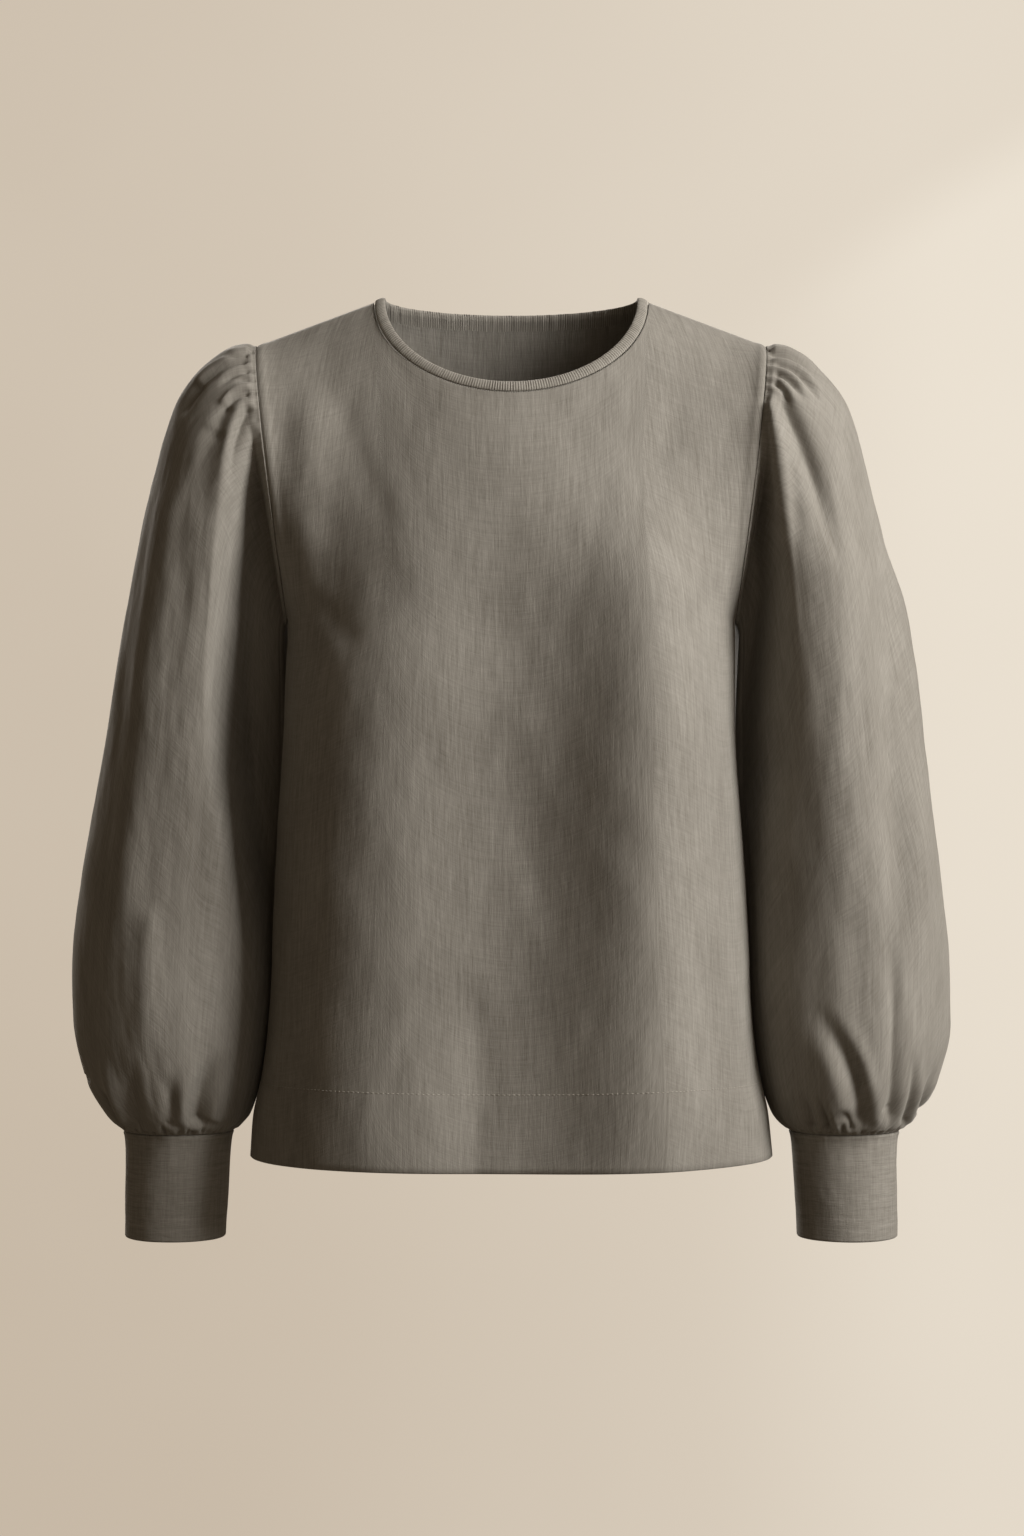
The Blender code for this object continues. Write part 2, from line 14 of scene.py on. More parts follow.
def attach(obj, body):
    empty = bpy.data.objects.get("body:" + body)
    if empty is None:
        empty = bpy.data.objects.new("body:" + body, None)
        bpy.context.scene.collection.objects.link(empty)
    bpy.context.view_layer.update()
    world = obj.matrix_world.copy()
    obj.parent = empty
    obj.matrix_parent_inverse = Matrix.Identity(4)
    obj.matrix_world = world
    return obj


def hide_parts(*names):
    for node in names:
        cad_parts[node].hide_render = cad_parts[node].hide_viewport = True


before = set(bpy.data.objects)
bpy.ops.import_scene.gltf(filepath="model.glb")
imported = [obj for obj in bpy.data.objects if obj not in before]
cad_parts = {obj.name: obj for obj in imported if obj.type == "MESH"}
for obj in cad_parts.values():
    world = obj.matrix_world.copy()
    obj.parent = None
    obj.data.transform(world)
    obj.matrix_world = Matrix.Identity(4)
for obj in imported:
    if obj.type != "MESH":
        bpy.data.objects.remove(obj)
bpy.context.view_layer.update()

# Cloth
CLOTH_THICKNESS = 0.0007
FOLD_RADIUS = 0.00075
SEAM_GAP = 0.0003
FORWARD = {"front": -1.0, "back": 1.0}
OUTWARD = {"left": 1.0, "right": -1.0}

# Neck
NECK_HALF_WIDTH = 0.0907
NECK_DROP = {"front": 0.0670, "back": 0.0070}
BINDING_WIDTH = 0.0072
FACING_DEPTH = 0.0135
NECK_SEAM_GAP = 0.00045
RIB_PITCH = 0.0018
RIB_RELIEF = {"outside": 0.00022, "inside": 0.00012}
RIB_WANDER = 0.08
RIB_UNEVENNESS = 0.25
GATHER_RELIEF = 0.00020
# Sizes along the band at which its ribs wander and wear and its gathers vary
BAND_CELLS = (0.009, 0.006, 0.0021, 0.0048)
BAND_SEED = 71
BAND_ROLL = {"height": 0.0016, "outer_share": 0.85, "squareness": 0.85, "sink": 0.0002}
# Heights of the facing inside the back of the neck, at its top and at its foot
FACING_HEIGHT = (-0.0012, 0.0008)
# How far behind the shoulders the facing sets in, and its run there, in shares of the neck's drop
FACING_START = (0.04, 0.20)

# Shoulder seam's outer end and the underarm point
TIP_X, TIP_Z = 0.1830, -0.0345
UNDERARM_X, UNDERARM_Z = 0.1600, -0.2320
ARMHOLE_REACH = {"front": 0.058, "back": 0.052}
SHOULDER_SLOPE = -TIP_Z / (TIP_X - NECK_HALF_WIDTH)
ARMHOLE_TALL = np.hypot(TIP_X - UNDERARM_X, TIP_Z - UNDERARM_Z)
ARMHOLE_OUTWARD = np.array([TIP_Z - UNDERARM_Z, 0.0, UNDERARM_X - TIP_X]) / ARMHOLE_TALL

# Body
HEM_Z = -0.6160
HEM_DEPTH = 0.0560
HEM_EDGE_Z = HEM_Z + HEM_DEPTH
HEM_STITCHES_Z = HEM_EDGE_Z - 0.002
WAIST_Z = -0.40
TORSO_ROUNDNESS = 2.3
SIDE_SEAM = {
    "z": (-0.616, -0.584, -0.558, -0.530, -0.493, -0.419, -0.383, -0.332, -0.289, -0.232),
    "half_width": (0.1868, 0.1836, 0.1778, 0.1735, 0.1703, 0.1678, 0.1652, 0.1614, 0.1600, 0.1600),
}
TORSO = {
    "drop": (0.000, 0.008, 0.030, 0.060, 0.100, 0.150, 0.230, 0.300, 0.400, 0.500, 0.640),
    "front": (0.000, 0.016, 0.036, 0.052, 0.068, 0.086, 0.107, 0.112, 0.106, 0.107, 0.118),
    "back": (0.000, 0.021, 0.042, 0.056, 0.069, 0.080, 0.086, 0.084, 0.083, 0.090, 0.105),
}

# Cuffs
CUFF_TOP = {"x": 0.2393, "y": 0.0000, "z": -0.5983, "radius": 0.0378}
CUFF_FOOT = {"x": 0.2415, "y": -0.0020, "z": -0.6730, "radius": 0.0361}
CUFF_WALL = 0.0026
# Rise of the flare at the cuff's top, and its reach in shares of the cuff's height
CUFF_FLARE = (0.0015, 0.110)
# Grooves and ridges: rise, middle and half-width. The first two run down the cuff in shares of its
# height, the last lies at a height, and the others at a distance from their seam
CUFF_RIDGE = (0.0003, 0.020, 0.020)
CUFF_GROOVE = (-0.0006, 0.0, 0.010)
CUFF_SEAM_GROOVE = (-0.0004, 0.0, 0.0012)
SLEEVE_SEAM_GROOVE = (-0.0006, 0.0, 0.0014)
SIDE_SEAM_GROOVE = (-0.0007, 0.0, 0.0012)
SIDE_SEAM_RIDGE = (0.0006, 0.0045, 0.0028)
HEM_GROOVE = (-0.00034, HEM_STITCHES_Z, 0.0009)
HEM_STEP = 0.00028

# Stitches
NECK_STITCH_OUTSET = 0.0008
NECK_STITCH = {"length": 0.0011, "pitch": 0.0017, "thickness": 0.0004}
HEM_STITCH = {"length": 0.0028, "pitch": 0.0035, "thickness": 0.0005}

# Sleeve rings from the armhole down to the cuff, as in the frame's own sleeves, in millimetres:
# outer x, outer z, inner x, inner z, front, back, behind
SLEEVE_RINGS = (
    (183.0, -34.5, 160.0, -232.0, 58.0, 52.0, 0.0),
    (194.5, -35.0, 162.6, -237.0, 62.0, 56.0, 0.5),
    (219.0, -48.6, 163.8, -244.0, 69.0, 62.0, 2.5),
    (242.5, -77.4, 163.6, -254.0, 74.5, 65.0, 6.0),
    (257.6, -126.4, 163.0, -272.0, 79.0, 66.0, 10.0),
    (272.5, -196.0, 162.2, -302.0, 82.0, 66.0, 15.0),
    (288.0, -278.0, 162.2, -346.0, 84.0, 66.0, 19.0),
    (301.0, -356.0, 164.5, -398.0, 85.0, 67.0, 21.0),
    (312.0, -418.0, 167.5, -444.0, 85.0, 68.0, 20.0),
    (317.6, -476.0, 169.5, -488.0, 83.0, 68.0, 17.0),
    (316.5, -520.0, 173.5, -526.0, 78.0, 66.0, 12.0),
    (307.0, -560.0, 180.0, -562.0, 67.0, 60.0, 6.0),
    (292.0, -585.0, 188.5, -586.0, 53.0, 50.0, 2.0),
    (278.9, -598.0, 199.7, -598.0, 39.6, 39.6, 0.0),
)
# Beside the body the sleeve's front is tucked back behind a soft edge
SLEEVE_TUCK = {
    "z": (-0.530, -0.480, -0.434, -0.387, -0.331, -0.290, -0.232, -0.165, -0.107, -0.080),
    "out": (0.158, 0.166, 0.177, 0.186, 0.194, 0.195, 0.192, 0.186, 0.181, 0.178),
    "share": (0.00, 0.30, 0.62, 0.80, 0.84, 0.82, 0.74, 0.50, 0.18, 0.00),
}
# Where the tuck starts outside its edge, over what run it deepens, and how slowly it sets in, each
# below and above the heights where it changes
TUCK_SWEEP = {
    "left": {"start": (0.018, 0.009), "run": (0.050, 0.024), "power": (2.0, 1.0)},
    "right": {"start": (0.021, 0.021), "run": (0.030, 0.030), "power": (1.0, 1.0)},
}
SWEEP_CHANGE = (-0.310, -0.200)
# Behind the body's side the sleeve leans in again
SLEEVE_LEAN = {
    "z": (-0.500, -0.440, -0.380, -0.320, -0.270, -0.245, -0.228),
    "inward": (0.000, 0.006, 0.010, 0.012, 0.013, 0.012, 0.000),
}
# Girths by which the threads are laid round
SLEEVE_GIRTH = 0.40
CUFF_GIRTH = 0.235

# Grids. A panel's columns are spread by its waist and, at a weight, by its top, and its rows bunch
# towards the top. A sleeve's columns crowd a little outside its middle front, its rows at both ends
PANEL_COLUMNS = 200
TOP_WEIGHT = 0.45
PANEL_ROWS = 206
ROW_BUNCHING = 0.45
HEM_TURN_ROWS = 6
HEM_INSIDE_ROWS = 20
SLEEVE_COLUMNS = 236
SLEEVE_ROWS = 200
CROWDED_ANGLE = np.radians(70)
COLUMN_CROWDING = 0.42
ROW_CROWDING = 0.085
CUFF_COLUMNS = 224
CUFF_OUTSIDE_ROWS = 64
CUFF_FOOT_ROWS = 8
CUFF_INSIDE_ROWS = 40
BAND_COLUMNS = 1440
BAND_ROWS = 24

# Crumples of the panels: rise, rise added low down, slant, size across, size along
PANEL_CRUMPLES = (
    (0.0011, 0.0, 0.0, 0.050, 0.120),
    (0.0006, 0.0, 0.4, 0.024, 0.070),
    (0.00022, 0.00010, -0.3, 0.011, 0.030),
    (0.00008, 0.0, 0.0, 0.005, 0.012),
)
PANEL_SEED = {"front": 11, "back": 47}
# Where the finer crumples grow deeper: a height and the run below it
LOWER_BODY = (-0.15, 0.25)
# The run over which folds and crumples fade at a panel's sides, and a head start and run at its top
SIDE_FADING = 0.014
PANEL_TOP_FADING = {"front": (0.002, 0.016), "back": (-0.008, 0.024)}
# Crumples of sleeves and cuffs: rise, count round, size along, and if the sleeve's ends stay calm
SLEEVE_CRUMPLES = (
    (0.0013, 8, 0.110, True),
    (0.0006, 24, 0.045, True),
    (0.00025, 48, 0.018, False),
    (0.00008, 96, 0.008, False),
)
SLEEVE_SEED = {"left": 100, "right": 200}
# Where a sleeve's relief fades: the runs at armhole and cuff, the run of its large crumples, the
# angles from the top where the cap's gathers end and fade, and the share lost near the underarm
SLEEVE_END_RUNS = (0.0035, 0.0025)
CALM_END_RUN = 0.05
CAP_END, CAP_FADING = 1.75, 0.7
UNDERARM_CALM = 0.8
CUFF_CRUMPLES = ((0.00035, 12, 0.022), (0.00012, 48, 0.008))
CUFF_PUCKER = (0.00035, 96, 0.02)
CUFF_PUCKER_REACH = 0.10
CUFF_SEED = {"left": 300, "right": 400}

# Gathers at a sleeve's ends: valleys over an angle to both sides, and the puff that they cut
VALLEY_DRIFT, VALLEY_WIDENING, VALLEY_END, VALLEY_SHARPNESS = 2.0, 1.2, 0.75, 1.4
CAP_GATHERS = {
    "spread": 1.55, "count": 34, "lengths": (0.005, 0.018), "depths": (0.0010, 0.0026),
    "widths": (0.014, 0.028), "start": 0.0015, "puff": 0.0022, "puff_start": 0.007, "puff_run": 0.040,
}
CUFF_GATHERS = {
    "spread": np.pi, "count": 48, "lengths": (0.008, 0.020), "depths": (0.0014, 0.0034),
    "widths": (0.018, 0.036), "start": 0.0022, "puff": 0.0016, "puff_start": 0.005, "puff_run": 0.030,
}

# Folds as seen square on, from out 1, z 1 past out 2, z 2 to out 3, z 3, with their half-width and
# rise, all in millimetres, and their sharpness and lip, which a soft roll leaves out. A rise below
# zero is a valley. Sharpness 2 is a soft roll and 1 a crease. The lip is the share of the rise that
# stands up along one side, to the left of the fold's run or, below zero, to the right. A fold sets
# in and runs out over shares of its length.
FOLD_STEPS = 33
FOLD_REACH = 5.0
LIP_PLACE = 1.9
SOFT_ROLL = (2.0, 0.0)
SLEEVE_FADING = (0.12, 0.50)
PANEL_FADING = (0.25, 0.22)
SLEEVE_FOLDS = {
    ("left", "front"): (
        (184, -45, 204, -49, 225, -66, 2.2, -5.2, 1.4, 0.5),
        (185, -53, 205, -60, 221, -87, 2.2, -4.4, 1.4, 0.5),
        (185, -59, 198, -66, 207, -82, 2.2, -4.0, 1.4, 0.5),
        (185, -66, 192, -73, 198, -86, 2.2, -3.6, 1.4, 0.4),
        (183, -75, 190, -130, 195, -220, 5.0, 5.5),
        (225, -160, 234, -330, 236, -460, 21.0, 7.0),
        (262, -190, 270, -360, 272, -500, 10.0, -4.0),
        (274, -170, 289, -370, 291, -520, 12.0, 7.5),
        (185, -74, 208, -124, 233, -215, 6.8, -6.8),
        (267, -594, 269, -530, 268, -430, 5.0, -4.5, 1.6, 0.0),
        (246, -594, 238, -550, 210, -500, 5.8, -6.2, 1.8, -0.3),
        (233, -585, 222, -548, 204, -508, 9.0, 3.5),
        (278, -594, 283, -568, 283, -535, 2.8, -4.2, 1.4, -0.3),
        (291, -587, 295, -568, 302, -545, 2.6, -3.8, 1.4, -0.3),
        (261, -580, 265, -578, 269, -579, 1.6, -2.0, 1.3, 0.0),
        (214, -594, 210, -581, 203, -562, 3.0, -4.5, 1.5, -0.3),
        (224, -594, 220, -582, 212, -560, 3.0, -4.5, 1.5, -0.3),
        (240, -594, 237, -586, 229, -574, 2.4, -3.0, 1.4, 0.0),
    ),
    ("right", "front"): (
        (186, -45, 195, -46, 205, -47, 2.2, -3.6, 1.5, 0.4),
        (184, -51, 212, -59, 237, -91, 2.6, -4.8, 1.4, 0.4),
        (220, -64, 229, -78, 234, -92, 5.0, -3.0),
        (184, -57, 197, -61, 208, -70, 2.2, -4.0, 1.4, 0.4),
        (184, -65, 190, -64, 197, -65, 1.8, -3.0, 1.4, 0.4),
        (183, -74, 195, -78, 203, -92, 2.4, -5.4, 1.3, 0.5),
        (199, -82, 205, -96, 208, -114, 5.0, -3.0, 1.8, 0.0),
        (183, -83, 192, -107, 198, -148, 3.4, -5.5, 1.4, 0.3),
        (206, -98, 214, -130, 217, -176, 8.0, -2.8),
        (238, -120, 262, -330, 286, -550, 15.0, 6.0),
        (254, -430, 256, -498, 260, -552, 8.0, 2.5),
        (306, -557, 304, -561, 302, -565, 2.5, -2.0, 1.4, 0.0),
        (250, -120, 276, -330, 296, -540, 8.0, -1.5),
        (276, -596, 283, -579, 291, -562, 3.2, -4.8, 1.4, 0.3),
        (272, -594, 282, -562, 288, -530, 6.0, 3.5, 1.8, 0.0),
        (264, -594, 266, -570, 266, -540, 5.5, -3.5, 1.7, 0.0),
        (240, -592, 238, -575, 238, -552, 5.0, -3.5, 1.7, 0.0),
        (221, -593, 216, -567, 202, -532, 7.0, -8.5, 1.6, -0.3),
        (213, -590, 207, -570, 199, -545, 5.0, 2.5, 1.8, 0.0),
    ),
    ("left", "back"): (
        (190, -110, 206, -260, 200, -430, 9.5, -8.5, 1.8, 0.0),
        (230, -130, 252, -320, 262, -500, 11.0, -5.0, 1.8, 0.0),
        (285, -330, 294, -430, 284, -540, 9.0, -3.8, 1.8, 0.0),
        (186, -60, 206, -74, 219, -100, 3.0, -3.4, 1.2, 0.4),
        (186, -48, 208, -56, 226, -74, 2.8, -2.6, 1.2, 0.35),
        (232, -594, 230, -560, 222, -520, 4.5, -5.2, 1.3, -0.3),
        (246, -594, 248, -570, 250, -545, 3.5, -3.5, 1.3, -0.25),
        (258, -592, 262, -566, 268, -535, 4.5, -4.5, 1.3, 0.3),
    ),
    ("right", "back"): (
        (188, -100, 201, -250, 196, -410, 9.5, -8.5, 1.8, 0.0),
        (238, -150, 246, -310, 266, -480, 11.0, -5.0, 1.8, 0.0),
        (276, -290, 292, -410, 292, -530, 9.0, -3.8, 1.8, 0.0),
        (186, -66, 203, -78, 214, -112, 3.0, -3.4, 1.2, 0.4),
        (186, -45, 210, -52, 230, -78, 2.8, -2.6, 1.2, 0.35),
        (228, -594, 224, -562, 214, -530, 4.5, -5.2, 1.3, -0.3),
        (243, -594, 244, -572, 243, -550, 3.5, -3.5, 1.3, -0.25),
        (264, -592, 270, -562, 276, -530, 4.5, -4.5, 1.3, 0.3),
    ),
}
# The same for the panels, with x in place of out
PANEL_FOLDS = {
    "front": (
        (14, -140, 18, -380, 14, -700, 45.0, -3.0),
        (92, -110, 95, -380, 100, -700, 38.0, 28.5),
        (58, -300, 58, -480, 58, -740, 30.0, 5.0),
        (-76, -200, -72, -430, -68, -700, 38.0, 5.0),
        (-120, -200, -118, -430, -122, -740, 40.0, 10.0),
        (-20, -100, -18, -400, -22, -740, 45.0, -8.0),
        (-24, -480, -24, -560, -24, -660, 11.0, -1.5, 1.6, 0.0),
        (-140, -60, -144, -150, -138, -260, 15.0, 4.5),
        (-165, -75, -150, -130, -120, -190, 11.0, -1.2),
        (-130, -60, -105, -120, -80, -180, 10.0, -1.0),
        (165, -75, 140, -135, 110, -200, 11.0, -1.2),
        (128, -60, 105, -120, 88, -190, 10.0, -1.0),
        (150, -215, 128, -225, 95, -260, 9.0, -1.6),
        (-150, -215, -128, -230, -100, -262, 9.0, -1.6),
    ),
    "back": (
        (-62, -180, -70, -420, -78, -640, 24.0, -4.6),
        (0, -220, 4, -450, 2, -640, 26.0, 3.8),
        (58, -200, 64, -430, 74, -640, 23.0, -4.4),
        (118, -340, 128, -480, 138, -640, 22.0, 3.8),
        (-122, -330, -130, -480, -140, -640, 22.0, 3.6),
        (150, -80, 120, -110, 70, -128, 11.0, -1.6),
        (-150, -84, -118, -116, -64, -132, 11.0, -1.6),
        (150, -215, 120, -236, 85, -280, 10.0, -1.8),
        (-150, -215, -122, -240, -90, -286, 10.0, -1.8),
        (20, -330, 60, -350, 100, -352, 9.0, -1.2),
        (-30, -350, -66, -362, -104, -360, 9.0, -1.2),
    ),
}

# Linen: how it takes light, its colours in linear light, and the tones over which they change
LINEN_LOOK = {
    "Metallic": 0.0, "Specular IOR Level": 0.25, "Sheen Weight": 0.22, "Sheen Roughness": 0.45,
    "Sheen Tint": (0.95, 0.90, 0.82, 1.0),
}
LINEN_DARK = (0.135, 0.121, 0.101)
LINEN_LIGHT = (0.262, 0.243, 0.212)
BAND_DARK = (0.140, 0.125, 0.105)
BAND_LIGHT = (0.280, 0.259, 0.225)
TONE_SPREAD = 0.24
GLOSS_SPREAD = 0.25
LINEN_ROUGHNESS = (0.97, 0.80)
LINEN_BUMP = {"Strength": 0.55, "Distance": 0.0005}
# Thread marks: level or upright, marks to a metre across and along the cloth, seed, detail,
# roughness, weight in the tone, weight in the relief
THREAD_MARKS = (
    ("upright", (520.0, 26.0), 1.0, 3.0, 0.62, 0.55, 0.6),
    ("upright", (1500.0, 130.0), 2.0, 2.0, 0.5, 0.30, 0.5),
    ("level", (30.0, 560.0), 3.0, 3.0, 0.62, 0.55, 0.6),
    ("level", (150.0, 1500.0), 4.0, 2.0, 0.5, 0.30, 0.5),
)
WASHED_MARKS = ((26.0, 11.0), 5.0, 3.0, 0.55)
WASHED_WEIGHT = 0.35
SEWING_THREAD = (0.36, 0.33, 0.28)
DARK_THREAD = (0.075, 0.066, 0.054)
# Painted shade in the thread's twist, as a share of its colour
THREAD_PAINTED_SHADE = 0.8
THREAD_ROUGHNESS = 0.6
THREAD_TWIST = {"Scale": 900.0, "Distortion": 1.5}

# Studio
ROOM_RADIUS = 5.0
FLOOR_Z = -2.4
AIR_STRENGTH = 0.13
AIR_COLOUR = (1.0, 0.80, 0.58, 1.0)
CAMERA_DISTANCE = 2.3
CAMERA_X, CAMERA_Z = 0.0005, -0.338
VIEW_HEIGHT = 1.106
LAMP_AIM = (0.0, 0.0, -0.30)
# name, place, width, height, power, colour
LAMPS = (
    ("key", (1.55, -0.93, 0.55), 0.8, 1.2, 66.0, (1.0, 0.99, 0.97)),
    ("fill", (1.10, -2.40, 0.2), 1.6, 1.6, 6.0, (1.0, 0.90, 0.78)),
    ("back", (-0.9, 2.4, 0.7), 1.6, 1.6, 60.0, (1.0, 0.97, 0.93)),
)
# Painted light and painted shade of the glowing wall: its tones in linear light, and where they change
WALL_PAINTED_SHADE = (0.55, 0.460, 0.36)
WALL_PAINTED_LIGHT = (0.85, 0.775, 0.665)
WALL_GLOW = {"half_width": 1.3, "foot": -2.2, "top": 0.9}
WALL_PAINTED_SLANT = {
    "across": (0.50, 0.0, -0.866), "start": -0.33, "softness": 0.10, "rise": 0.22,
    "reach_from": 0.35, "reach_to": 1.0,
}
WALL_LOOK = {
    "Base Color": (0.0, 0.0, 0.0, 1.0), "Roughness": 1.0, "Specular IOR Level": 0.0,
    "Emission Strength": 1.0,
}
# How much the wall's painted light rises across, upward and over the bright painted slant, and its tone
# by its grain
WALL_RISES = (0.50, 0.18, 1.0, 0.10)
WALL_GRAIN = {"Scale": 1.4, "Detail": 2.0}


def smooth_step(share):
    """0 to 1 with level ends."""
    share = np.clip(share, 0.0, 1.0)
    return share * share * (3.0 - 2.0 * share)


def smooth_reading(at, knots, values):
    """A smooth curve through the knots that never swings past them."""
    knots = np.asarray(knots, float)
    values = np.asarray(values, float)
    steps = np.diff(knots)
    slopes = np.diff(values) / steps
    tangents = np.concatenate([slopes[:1], np.zeros(len(slopes) - 1), slopes[-1:]])
    rising = slopes[:-1] * slopes[1:] > 0
    before = slopes[:-1][rising]
    after = slopes[1:][rising]
    tangents[1:-1][rising] = 2.0 * before * after / (before + after)
    at = np.clip(at, knots[0], knots[-1])
    span = np.clip(np.searchsorted(knots, at) - 1, 0, len(steps) - 1)
    step = steps[span]
    share = (at - knots[span]) / step
    rest = 1.0 - share
    low = values[span] * (1.0 + 2.0 * share) + tangents[span] * step * share
    high = values[span + 1] * (1.0 + 2.0 * rest) - tangents[span + 1] * step * rest
    return low * rest**2 + high * share**2


def unit(vectors):
    return vectors / np.linalg.norm(vectors, axis=-1, keepdims=True)


def ridge(place, rise, middle, half_width):
    """The height of a soft ridge or, with a rise below zero, of a groove."""
    return rise * np.exp(-(((place - middle) / half_width) ** 2))


def crumple(across, along, cell_across, cell_along, seed, cells_round=None):
    """Soft uneven heights from -1 to 1 in cells of the given size, closed after cells_round."""
    cells = 96
    lattice = np.random.default_rng(seed).uniform(-1.0, 1.0, (cells, cells))
    across = across / cell_across
    along = along / cell_along
    first_across = np.floor(across).astype(int)
    first_along = np.floor(along).astype(int)
    share_across = smooth_step(across - first_across)
    share_along = smooth_step(along - first_along)
    turn = cells_round or cells
    here, there = first_across % turn, (first_across + 1) % turn
    above, below = first_along % cells, (first_along + 1) % cells
    near = lattice[here, above] * (1 - share_along) + lattice[here, below] * share_along
    far = lattice[there, above] * (1 - share_along) + lattice[there, below] * share_along
    return near * (1 - share_across) + far * share_across


def fold_heights(across, height, folds, fading_in, fading_out):
    """The summed height of the folds at each place, as the cloth is seen square on."""
    total = np.zeros_like(across)
    steps = np.linspace(0.0, 1.0, FOLD_STEPS)
    for fold in folds:
        out1, z1, out2, z2, out3, z3, half_width, rise = (length / 1000 for length in fold[:8])
        sharpness, lip = fold[8:] or SOFT_ROLL
        bend_out = 2.0 * out2 - 0.5 * (out1 + out3)
        bend_z = 2.0 * z2 - 0.5 * (z1 + z3)
        line_out = (1 - steps) ** 2 * out1 + 2 * steps * (1 - steps) * bend_out + steps**2 * out3
        line_z = (1 - steps) ** 2 * z1 + 2 * steps * (1 - steps) * bend_z + steps**2 * z3
        reach = FOLD_REACH * half_width
        near = (across > line_out.min() - reach) & (across < line_out.max() + reach)
        near &= (height > line_z.min() - reach) & (height < line_z.max() + reach)
        if not near.any():
            continue
        away_out = across[near][:, None] - line_out
        away_z = height[near][:, None] - line_z
        nearest = np.hypot(away_out, away_z).argmin(axis=-1)
        row = np.arange(len(nearest))
        away_out = away_out[row, nearest]
        away_z = away_z[row, nearest]
        run_out = np.gradient(line_out)[nearest]
        run_z = np.gradient(line_z)[nearest]
        step_length = np.hypot(run_out, run_z)
        past = (away_out * run_out + away_z * run_z) / step_length
        at_end = (nearest == 0) | (nearest == len(steps) - 1)
        past = np.where(at_end, np.clip(past, -0.5 * step_length, 0.5 * step_length), past)
        offside = (run_out * away_z - run_z * away_out) / step_length
        distance = np.sqrt(np.maximum(away_out**2 + away_z**2 - past**2, 0.0))
        side = np.sign(offside)
        share = np.clip(steps[nearest] + past / step_length * steps[1], 0.0, 1.0)
        ends = smooth_step(share / fading_in) * smooth_step((1.0 - share) / fading_out)
        made = rise * np.exp(-((distance / half_width) ** sharpness))
        lip_line = np.sign(lip) * LIP_PLACE * half_width
        made += ridge(side * distance, abs(lip * rise), lip_line, half_width)
        total[near] += ends * made
    return total


def shoulder_height(x):
    out = np.abs(x) - NECK_HALF_WIDTH
    inside = np.minimum(out, 0.0)
    return -SHOULDER_SLOPE * (out + 0.5 * inside**2 / NECK_HALF_WIDTH)


def side_reach(z):
    """Half-width of the body at a height: the armhole's chord, and below it the side seam."""
    chord = UNDERARM_X + (z - UNDERARM_Z) * (TIP_X - UNDERARM_X) / (TIP_Z - UNDERARM_Z)
    seam = smooth_reading(z, SIDE_SEAM["z"], SIDE_SEAM["half_width"])
    return np.where(z > UNDERARM_Z, chord, seam)


def torso_depth(side, x, z):
    """How far the panel's face stands from the plane of the shoulder and side seams."""
    top = shoulder_height(x)
    drop = np.maximum(top - z, 1e-6)
    above = z > UNDERARM_Z
    level = np.where(above, TIP_Z - drop * (TIP_Z - UNDERARM_Z) / (top - UNDERARM_Z), z)
    middle_z = 0.5 * (TIP_Z + UNDERARM_Z)
    place = np.clip((level - middle_z) / (TIP_Z - middle_z), -1.0, 1.0)
    share = np.clip(np.abs(x) / side_reach(level), 0.0, 1.0)
    edge = ARMHOLE_REACH[side] * (1.0 - place**2) ** (0.5 + 2.0 * (1.0 - share))
    middle = smooth_reading(np.sqrt(drop), np.sqrt(TORSO["drop"]), TORSO[side])
    closed = middle * (1.0 - share**TORSO_ROUNDNESS) ** (1.0 / TORSO_ROUNDNESS)
    return np.hypot(closed, edge * share**2)


def torso_faces(side, x, z):
    """Points on the torso's face and the directions that point out of it."""
    forward = FORWARD[side]
    reach = 0.0004
    depth = torso_depth(side, x, z)
    across = (torso_depth(side, x + reach, z) - torso_depth(side, x - reach, z)) / (2 * reach)
    upward = (depth - torso_depth(side, x, z - reach)) / reach
    points = np.stack([x, forward * (depth + 0.5 * SEAM_GAP), z], axis=-1)
    return points, unit(np.stack([-across, np.full_like(x, forward), -upward], axis=-1))


def neck_edge(side, angle, outset):
    """The neck's edge at an angle from its middle, moved outward over the cloth."""
    x = (NECK_HALF_WIDTH + outset) * np.sin(angle)
    fall = (NECK_DROP[side] + outset) * np.abs(np.cos(angle))
    return x, -fall - SHOULDER_SLOPE * outset * np.sin(angle) ** 4


def run_lengths(points, axis):
    """Distance run along the grid from its first row or column."""
    steps = np.linalg.norm(np.diff(points, axis=axis), axis=-1)
    lengths = np.cumsum(steps, axis=axis)
    return np.concatenate([np.zeros_like(np.take(lengths, [0], axis=axis)), lengths], axis=axis)


def even_spread(weights_at, count):
    """Shares from 0 to 1 of a run that hold equal parts of a growing measure."""
    share = np.linspace(0.0, 1.0, len(weights_at))
    return np.interp(np.linspace(0.0, weights_at[-1], count), weights_at, share)


def placed(name, data):
    """A new object of the scene."""
    piece = bpy.data.objects.new(name, data)
    bpy.context.scene.collection.objects.link(piece)
    return piece


